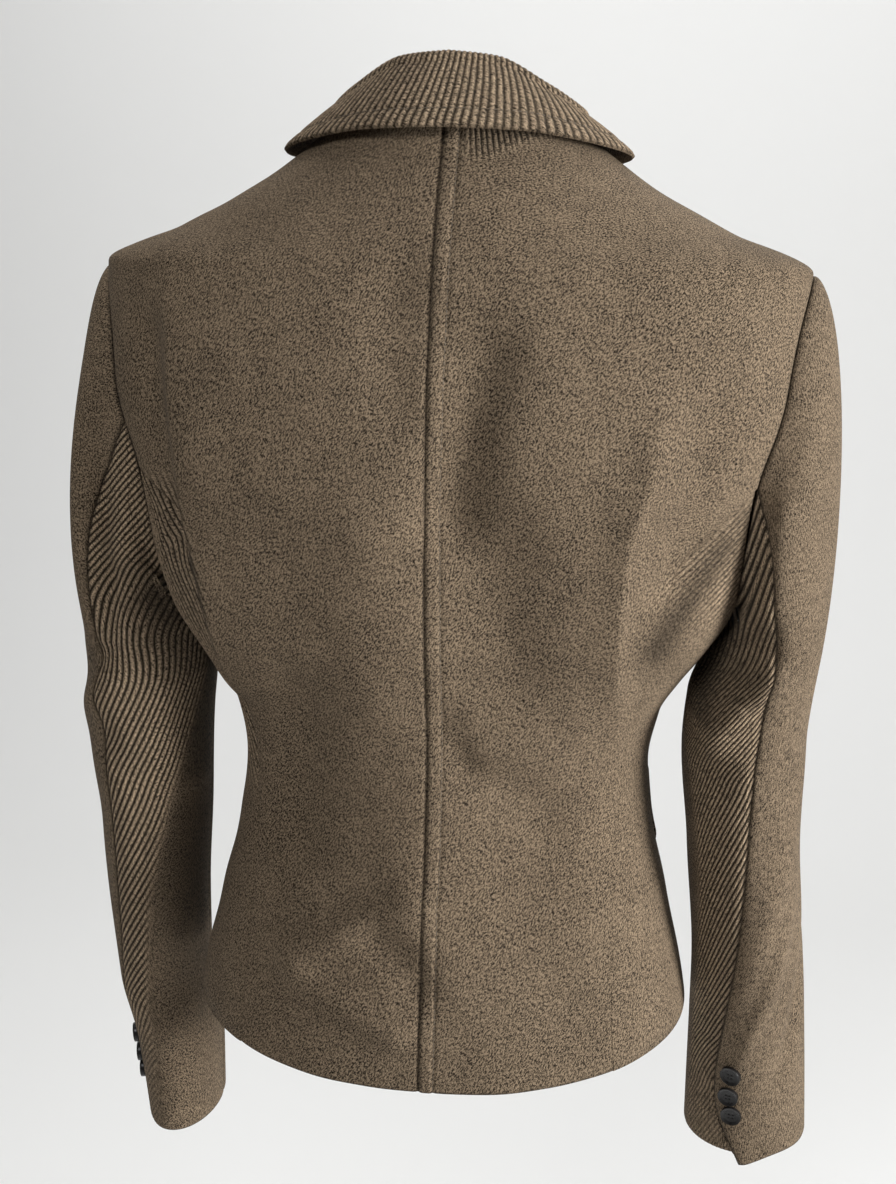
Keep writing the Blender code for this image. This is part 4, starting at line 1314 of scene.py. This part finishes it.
class BLAZER_OT_sides(bpy.types.Operator):
    """Sew the underarm side panels"""

    bl_idname = "blazer.sides"
    bl_label = "Side panels"

    def execute(self, context):
        cloth_set = context.scene.blazer_cloth
        along, across = SIDE_POINTS
        u = np.linspace(0, 1, across + 1)[None, :]
        v = np.linspace(0, 1, along + 1)[:, None] ** SIDE_TOP_SPACING
        rows = mix(HEM_BACK_Z, side_panel_tops(u), v)
        angle, z = between(side_back_angle, plain_side_front_angle, u + 0 * v, rows)
        for side, label in SIDES:
            cloth = Cloth(body(side * angle, z), side)
            cloth.press("first_column", seam_fading(side, z) * cloth_set.seam_depth, cloth_set.seam_width)
            for edge in ("last_column", "last_row"):
                cloth.press(edge, cloth_set.seam_depth, cloth_set.seam_width)
            if side > 0:
                start, end = LEFT_SIDE_WALES_END
                x = cloth.points[..., 0]
                steps = np.maximum(np.abs(np.diff(x)), SIDE_WALE_SPREAD * np.diff(cloth.across))
                out = x[:, :1] + np.pad(np.cumsum(steps, axis=1), ((0, 0), (1, 0)))
                phase, run = side_wale_number(out, z, cloth_set.wale_pitch), cloth.along
                rib = 1 - ease((z - start) / (end - start))
                cloth.shade(SIDE_SHADE * rib)
            else:
                phase, run, rib = band_wales(cloth, cloth_set.wale_pitch)
                cloth.shade(band_shade(run) * rib)
                shade_armpit(cloth, side)
            cloth.raise_wales(phase, run, rib, cloth_set.wale_height)
            make_cloth(f"side_panel_{label}", f"side_{label}", cloth, cloth_set.cloth_thickness,
                       rib_wool(cloth_set))
        return {"FINISHED"}


def overlap_lift(x):
    """The right front lies over the left, so it stands out by a cloth's thickness near the mid line."""
    return OVERLAP_LIFT * ease((OVERLAP_REACH + x) / OVERLAP_EASE)


class BLAZER_OT_fronts(bpy.types.Operator):
    """Sew the fronts with their lapels and pocket flaps"""

    bl_idname = "blazer.fronts"
    bl_label = "Fronts"

    def front(self, side, cloth_set):
        low, middle, high, across = FRONT_POINTS
        rows = panel_rows(SIDE_FRONT_TOP_Z, low, middle, high)[:, None]
        u = np.linspace(0, 1, across + 1)[None, :]
        angle, z = between(side_front_angle, front_edge_angle, u, rows + 0 * u)
        cloth = Cloth(body(side * angle, z), side)
        if side < 0:
            lift = overlap_lift(cloth.points[..., 0])
            cloth.points = cloth.points + cloth.normals * lift[..., None]
        cloth.press("first_column", cloth_set.seam_depth, cloth_set.seam_width)
        cloth.press("last_column", *FREE_EDGE)
        cloth.press("first_row", *FREE_EDGE)
        return cloth

    def laid_on(self, side, angle, z, cloth_set):
        """Cloth that lies on a front, just clear of it."""
        cloth = Cloth(body(side * angle, z), side)
        lift = np.full(angle.shape, cloth_set.cloth_thickness + ON_PANEL)
        if side < 0:
            lift = lift + overlap_lift(cloth.points[..., 0])
        cloth.points = cloth.points + cloth.normals * lift[..., None]
        for edge in ("first_column", "last_column", "first_row", "last_row"):
            cloth.press(edge, *LAID_EDGE)
        return cloth

    def lapel(self, side, cloth_set):
        along, across = LAPEL_POINTS
        z = np.linspace(LAPEL.keys[0], LAPEL.keys[-1], along)[:, None]
        u = np.linspace(1, 0, across)[None, :]
        x = roll_x(z) + LAPEL.read("width", z) * u
        z = z + 0 * u
        return self.laid_on(side, angle_at_x(x, z, front=True), z, cloth_set)

    def flap(self, side, cloth_set):
        along, across = FLAP_POINTS
        z = np.linspace(FLAP_TOP_Z - FLAP_DEPTH, FLAP_TOP_Z, along)[:, None]
        angle = np.linspace(FLAP_BACK_ANGLE, FLAP_FRONT_ANGLE, across)[None, :]
        return self.laid_on(side, angle + 0 * z, z + 0 * angle, cloth_set)

    def execute(self, context):
        cloth_set = context.scene.blazer_cloth
        thickness = cloth_set.cloth_thickness
        for side, label in SIDES:
            for name, make, held in (("front", self.front, "hung"), ("lapel", self.lapel, "folded"),
                                     ("flap", self.flap, "laid")):
                make_cloth(f"{name}_panel_{label}", f"{name}_{label}", make(side, cloth_set), thickness,
                           wool(cloth_set))
        return {"FINISHED"}


class BLAZER_OT_sleeves(bpy.types.Operator):
    """Set in the two-piece sleeves"""

    bl_idname = "blazer.sleeves"
    bl_label = "Sleeves"

    def execute(self, context):
        cloth_set = context.scene.blazer_cloth
        for side, label in SIDES:
            for top, part in ((True, "top"), (False, "under")):
                cloth, turn = sleeve_cloth(side, top)
                for edge in ("first_column", "last_column", "first_row"):
                    cloth.press(edge, cloth_set.seam_depth, cloth_set.seam_width)
                cloth.press("last_row", *FREE_EDGE)
                if not top:
                    sleeve_wales(cloth, side, turn, cloth_set.wale_pitch, cloth_set.wale_height)
                make_cloth(f"{part}_sleeve_{label}", f"sleeve_{part}_{label}", cloth,
                           cloth_set.cloth_thickness, wool(cloth_set) if top else rib_wool(cloth_set))
        return {"FINISHED"}


class BLAZER_OT_collar(bpy.types.Operator):
    """Fold the ribbed collar round the neck"""

    bl_idname = "blazer.collar"
    bl_label = "Collar"

    def execute(self, context):
        cloth_set = context.scene.blazer_cloth
        cloth, turn = collar_cloth()
        height = cloth_set.wale_height
        cloth.points = cloth.points + cloth.normals * height
        phase = (turn + COLLAR_END) / (2 * COLLAR_END) * COLLAR_WALES
        rib = np.full_like(cloth.across, COLLAR_RIB)
        cloth.raise_wales(phase + 0 * cloth.along, cloth.across, rib, height)
        cloth.shade(COLLAR_SHADE)
        cloth.groove(cloth.edge_distance("last_column") - COLLAR_STITCH_RISE, *COLLAR_GROOVE)
        cloth.press("last_column", *COLLAR_EDGE)
        make_cloth("collar_fold", "collar", cloth, cloth_set.collar_thickness,
                   rib_wool(cloth_set))
        return {"FINISHED"}


# Stitching and buttons

def one_stitch(trim):
    """One thread stitch lying along X, modelled once."""
    bpy.ops.object.select_all(action="DESELECT")
    bpy.ops.mesh.primitive_uv_sphere_add(segments=6, ring_count=5, radius=1.0)
    stitch = bpy.context.active_object
    bpy.ops.object.mode_set(mode="EDIT")
    bpy.ops.mesh.select_all(action="SELECT")
    size = (trim.stitch_length / 2, trim.stitch_radius, trim.stitch_radius)
    bpy.ops.transform.rotate(value=math.pi / 2, orient_axis="Y", center_override=(0, 0, 0))
    bpy.ops.transform.resize(value=size, center_override=(0, 0, 0))
    bpy.ops.object.mode_set(mode="OBJECT")
    return stitch


def sew_line(name, path, normals, trim, material):
    """Copies of one stitch set end to end along a line on the cloth, joined as one piece."""
    stitch = one_stitch(trim)
    pattern = np.array([vertex.co for vertex in stitch.data.vertices])
    faces = [list(face.vertices) for face in stitch.data.polygons]
    bpy.data.objects.remove(stitch)
    distance = np.concatenate(([0.0], np.cumsum(np.linalg.norm(np.diff(path, axis=0), axis=1))))
    spots = np.arange(trim.stitch_pitch, distance[-1] - trim.stitch_pitch, trim.stitch_pitch)

    def at(values, spot):
        return np.stack([np.interp(spot, distance, values[:, k]) for k in range(3)], axis=-1)

    ahead = unit(at(path, spots + trim.stitch_length / 2) - at(path, spots - trim.stitch_length / 2))
    out = unit(at(normals, spots))
    aside = unit(np.cross(out, ahead))
    out = np.cross(ahead, aside)
    turned = (pattern[None, :, 0:1] * ahead[:, None] + pattern[None, :, 1:2] * aside[:, None]
              + pattern[None, :, 2:3] * out[:, None])
    points = (at(path, spots)[:, None] + turned).reshape(-1, 3)
    joined = [[index + k * len(pattern) for index in face] for k in range(len(spots)) for face in faces]
    mesh = bpy.data.meshes.new(name)
    mesh.from_pydata(points, [], joined)
    mesh.polygons.foreach_set("use_smooth", [True] * len(joined))
    mesh.materials.append(material)
    mesh.update()
    piece = bpy.data.objects.new(name, mesh)
    bpy.context.scene.collection.objects.link(piece)
    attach(piece, "root")


class BLAZER_OT_topstitch(bpy.types.Operator):
    """Sew the lines of topstitching beside the centre back seam and along the collar"""

    bl_idname = "blazer.topstitch"
    bl_label = "Topstitching"

    def execute(self, context):
        cloth_set, trim = context.scene.blazer_cloth, context.scene.blazer_trim
        material = shared_material("sewing_thread", lambda: thread_material(cloth_set))
        back = back_cloth(-1, cloth_set, trim)
        surface = back.points + back.normals * back.relief[..., None]
        self.sew("back_topstitch", surface, back, back.across, trim.back_stitch_offset, trim, material)
        collar, _ = collar_cloth()
        surface = collar.points + collar.normals * (cloth_set.wale_height * COLLAR_STITCH_SHARE)
        rise = collar.edge_distance("last_column")[:, ::-1]
        collar.normals = collar.normals[:, ::-1]
        self.sew("collar_topstitch", surface[:, ::-1], collar, rise, COLLAR_STITCH_RISE, trim, material)
        return {"FINISHED"}

    def sew(self, name, surface, cloth, distance, offset, trim, material):
        """A line of stitches where a distance across the cloth comes to an offset."""

        def line(values):
            rows = zip(distance, values)
            return np.array([[np.interp(offset, d, v[:, k]) for k in range(3)] for d, v in rows])

        sew_line(name, line(surface), line(cloth.normals), trim, material)


def turned_button(trim):
    """One cuff button standing on the origin: a rim, a dish and four thread holes."""
    radius, thick = trim.cuff_button_radius, trim.button_thickness
    bpy.ops.object.select_all(action="DESELECT")
    bpy.ops.mesh.primitive_cylinder_add(
        vertices=BUTTON_SIDES, radius=radius, depth=thick, location=(0, 0, thick / 2))
    button = bpy.context.active_object
    bpy.ops.object.transform_apply(location=True, rotation=True, scale=True)
    bpy.ops.object.mode_set(mode="EDIT")
    bpy.ops.mesh.select_mode(type="FACE")
    for facing, inset, sink in BUTTON_INSETS:
        bpy.ops.mesh.select_all(action="DESELECT")
        shape = bmesh.from_edit_mesh(button.data)
        ends = [face for face in shape.faces if face.normal.z * facing > 0.9 and len(face.verts) > 4]
        for face in ends:
            face.select = True
        bmesh.update_edit_mesh(button.data)
        bpy.ops.mesh.inset(thickness=inset * radius)
        if sink:
            bpy.ops.transform.translate(value=(0, 0, -sink * thick))
    bpy.ops.object.mode_set(mode="OBJECT")
    bpy.ops.object.select_all(action="DESELECT")
    holes = []
    for k in range(4):
        turn = math.pi / 4 + k * math.pi / 2
        place = (HOLE_PLACE * radius * math.cos(turn), HOLE_PLACE * radius * math.sin(turn), thick)
        bpy.ops.mesh.primitive_cylinder_add(
            vertices=HOLE_SIDES, radius=HOLE_RADIUS * radius, depth=thick, location=place)
        holes.append(bpy.context.active_object)
    for hole in holes:
        hole.select_set(True)
    bpy.context.view_layer.objects.active = holes[0]
    bpy.ops.object.join()
    cutter = bpy.context.active_object
    bpy.ops.object.select_all(action="DESELECT")
    button.select_set(True)
    bpy.context.view_layer.objects.active = button
    drill = button.modifiers.new("thread_holes", "BOOLEAN")
    drill.operation, drill.object, drill.solver = "DIFFERENCE", cutter, "EXACT"
    bpy.ops.object.modifier_apply(modifier=drill.name)
    bpy.data.objects.remove(cutter)
    rounding = button.modifiers.new("rounding", "BEVEL")
    rounding.width, rounding.segments, rounding.limit_method = BUTTON_ROUNDING, 2, "ANGLE"
    rounding.angle_limit = math.radians(35)
    bpy.ops.object.modifier_apply(modifier=rounding.name)
    bpy.ops.object.shade_smooth_by_angle(angle=math.radians(40))
    return button


def node_seat(node, away_from):
    """A CAD button's back centre and the way it faces, read from its points."""
    points = np.array([node.matrix_world @ vertex.co for vertex in node.data.vertices])
    middle = (points.min(axis=0) + points.max(axis=0)) / 2
    centred = points - points.mean(axis=0)
    facing = np.linalg.svd(centred, full_matrices=False)[2][2]
    if facing @ (middle - away_from) < 0:
        facing = -facing
    heights = centred @ facing
    return points.mean(axis=0) + facing * heights.min(), facing


class BLAZER_OT_buttons(bpy.types.Operator):
    """Turn the buttons and set them on the cuffs and the front"""

    bl_idname = "blazer.buttons"
    bl_label = "Buttons"

    def execute(self, context):
        trim = context.scene.blazer_trim
        material = shared_material("dark_resin", lambda: button_material(trim))
        pattern = turned_button(trim)
        pattern.data.materials.append(material)
        for name, node in sorted(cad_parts.items()):
            if "button" not in name:
                continue
            cuff = name.startswith("cuff")
            side = 1 if "left" in name else -1
            middle = np.array([side * CUFF_MIDDLE[0], CUFF_MIDDLE[1], 0.0]) if cuff else np.zeros(3)
            points = np.array([node.matrix_world @ vertex.co for vertex in node.data.vertices])
            middle[2] = points[:, 2].mean()
            seat, facing = node_seat(node, middle)
            grow = 1.0 if cuff else trim.front_button_radius / trim.cuff_button_radius
            mesh = pattern.data.copy()
            mesh.name = f"turned_{name}"
            turn = Vector(facing).to_track_quat("Z", "Y").to_matrix().to_4x4()
            wider = Matrix.Diagonal((grow, grow, 1.0, 1.0))
            mesh.transform(Matrix.Translation(Vector(seat)) @ turn @ wider)
            piece = bpy.data.objects.new(f"turned_{name}", mesh)
            context.scene.collection.objects.link(piece)
            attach(piece, "root")
            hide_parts(name)
        bpy.data.objects.remove(pattern)
        return {"FINISHED"}


# Studio

def soft_light(name, place, aim, size, power):
    light = bpy.data.lights.new(name, "AREA")
    light.energy, light.size = power, size
    lamp = bpy.data.objects.new(name, light)
    lamp.location = place
    lamp.rotation_euler = (Vector(place) - Vector(aim)).to_track_quat("Z", "Y").to_euler()
    bpy.context.scene.collection.objects.link(lamp)


class BLAZER_OT_studio(bpy.types.Operator):
    """Set the pale floor, the soft light and the camera"""

    bl_idname = "blazer.studio"
    bl_label = "Studio"

    def execute(self, context):
        studio = context.scene.blazer_studio
        self.lay_floor(context, studio)
        soft_light("key_light", *KEY_LIGHT, studio.key_power)
        soft_light("fill_light", *FILL_LIGHT, studio.fill_power)
        soft_light("backdrop_light", *BACKDROP_LIGHT, studio.backdrop_power)
        world = bpy.data.worlds.new("studio_air")
        world.use_nodes = True
        air = world.node_tree.nodes["Background"]
        air.inputs["Color"].default_value = AIR_COLOUR
        air.inputs["Strength"].default_value = studio.air
        context.scene.world = world
        context.scene.view_settings.view_transform = "Standard"
        self.set_camera(context)
        return {"FINISHED"}

    def lay_floor(self, context, studio):
        """A floor that sweeps up into a plain backdrop in front of the camera."""
        bpy.ops.object.select_all(action="DESELECT")
        place = (0, FLOOR_MIDDLE_Y, studio.floor_level)
        bpy.ops.mesh.primitive_plane_add(size=FLOOR_SIZE, location=place)
        floor = context.active_object
        floor.name = "studio_floor"
        bpy.ops.object.transform_apply(location=True, rotation=True, scale=True)
        bpy.ops.object.mode_set(mode="EDIT")
        bpy.ops.mesh.select_mode(type="EDGE")
        for step in range(1, SWEEP_STEPS + 2):
            turn = math.radians(90) * min(step, SWEEP_STEPS) / SWEEP_STEPS
            reach = (0, -SWEEP_RADIUS * math.sin(turn), SWEEP_RADIUS * (1 - math.cos(turn)))
            if step > SWEEP_STEPS:
                reach = (0, -SWEEP_RADIUS, BACKDROP_HEIGHT)
            bpy.ops.mesh.select_all(action="DESELECT")
            shape = bmesh.from_edit_mesh(floor.data)
            last = min(shape.edges, key=self.edge_rank)
            last.select = True
            at = last.verts[0].co
            edge_y = FLOOR_MIDDLE_Y - FLOOR_SIZE / 2
            move = (0, edge_y + reach[1] - at.y, studio.floor_level + reach[2] - at.z)
            bmesh.update_edit_mesh(floor.data)
            bpy.ops.mesh.extrude_region_move(TRANSFORM_OT_translate={"value": move})
        bpy.ops.object.mode_set(mode="OBJECT")
        bpy.ops.object.shade_smooth()
        floor.data.materials.append(ground_material(studio))

    def edge_rank(self, edge):
        """Lowest for the cross edge that lies farthest along the sweep."""
        a, b = edge.verts
        return (abs(a.co.y - b.co.y) + abs(a.co.z - b.co.z) > 1e-4, a.co.y - a.co.z)

    def set_camera(self, context):
        a, e, r = (math.radians(t) for t in (CAMERA_AZIMUTH, CAMERA_ELEVATION, CAMERA_ROLL))
        back = Vector((math.sin(a) * math.cos(e), -math.cos(a) * math.cos(e), math.sin(e)))
        level = Vector((0, 0, 1)).cross(back).normalized()
        upright = back.cross(level)
        right = level * math.cos(r) + upright * math.sin(r)
        up = upright * math.cos(r) - level * math.sin(r)
        camera = bpy.data.cameras.new("studio_camera")
        camera.sensor_fit = "VERTICAL"
        camera.sensor_height = SENSOR_HEIGHT
        camera.lens = FOCAL_PIXELS / IMAGE_HEIGHT * SENSOR_HEIGHT
        camera.clip_start = 0.01
        holder = bpy.data.objects.new("studio_camera", camera)
        turned = Matrix((right, up, back)).transposed().to_4x4()
        holder.matrix_world = Matrix.Translation(CAMERA_PLACE) @ turned
        context.scene.collection.objects.link(holder)
        context.scene.camera = holder


class BLAZER_PT_pieces(bpy.types.Panel):
    """The blazer's pieces in the order they are made"""

    bl_idname = "BLAZER_PT_pieces"
    bl_label = "Blazer"
    bl_space_type = "VIEW_3D"
    bl_region_type = "UI"
    bl_category = "Blazer"

    def draw(self, context):
        for group in ("blazer_cloth", "blazer_trim", "blazer_studio"):
            settings = getattr(context.scene, group)
            for name in settings.bl_rna.properties.keys():
                if name not in ("rna_type", "name"):
                    self.layout.prop(settings, name)
        for step in STEPS:
            self.layout.operator(step.bl_idname)


SETTINGS = {"blazer_cloth": BlazerCloth, "blazer_trim": BlazerTrim, "blazer_studio": BlazerStudio}
STEPS = (BLAZER_OT_backs, BLAZER_OT_sides, BLAZER_OT_fronts, BLAZER_OT_sleeves, BLAZER_OT_collar,
         BLAZER_OT_topstitch, BLAZER_OT_buttons, BLAZER_OT_studio)


def register():
    for kind in (*SETTINGS.values(), *STEPS, BLAZER_PT_pieces):
        bpy.utils.register_class(kind)
    for name, kind in SETTINGS.items():
        setattr(bpy.types.Scene, name, bpy.props.PointerProperty(type=kind))


def unregister():
    for name in SETTINGS:
        delattr(bpy.types.Scene, name)
    for kind in reversed((*SETTINGS.values(), *STEPS, BLAZER_PT_pieces)):
        bpy.utils.unregister_class(kind)


def main():
    register()
    bpy.ops.blazer.backs()
    bpy.ops.blazer.sides()
    bpy.ops.blazer.fronts()
    bpy.ops.blazer.sleeves()
    bpy.ops.blazer.collar()
    bpy.ops.blazer.topstitch()
    bpy.ops.blazer.buttons()
    bpy.ops.blazer.studio()


if __name__ == "__main__":
    main()
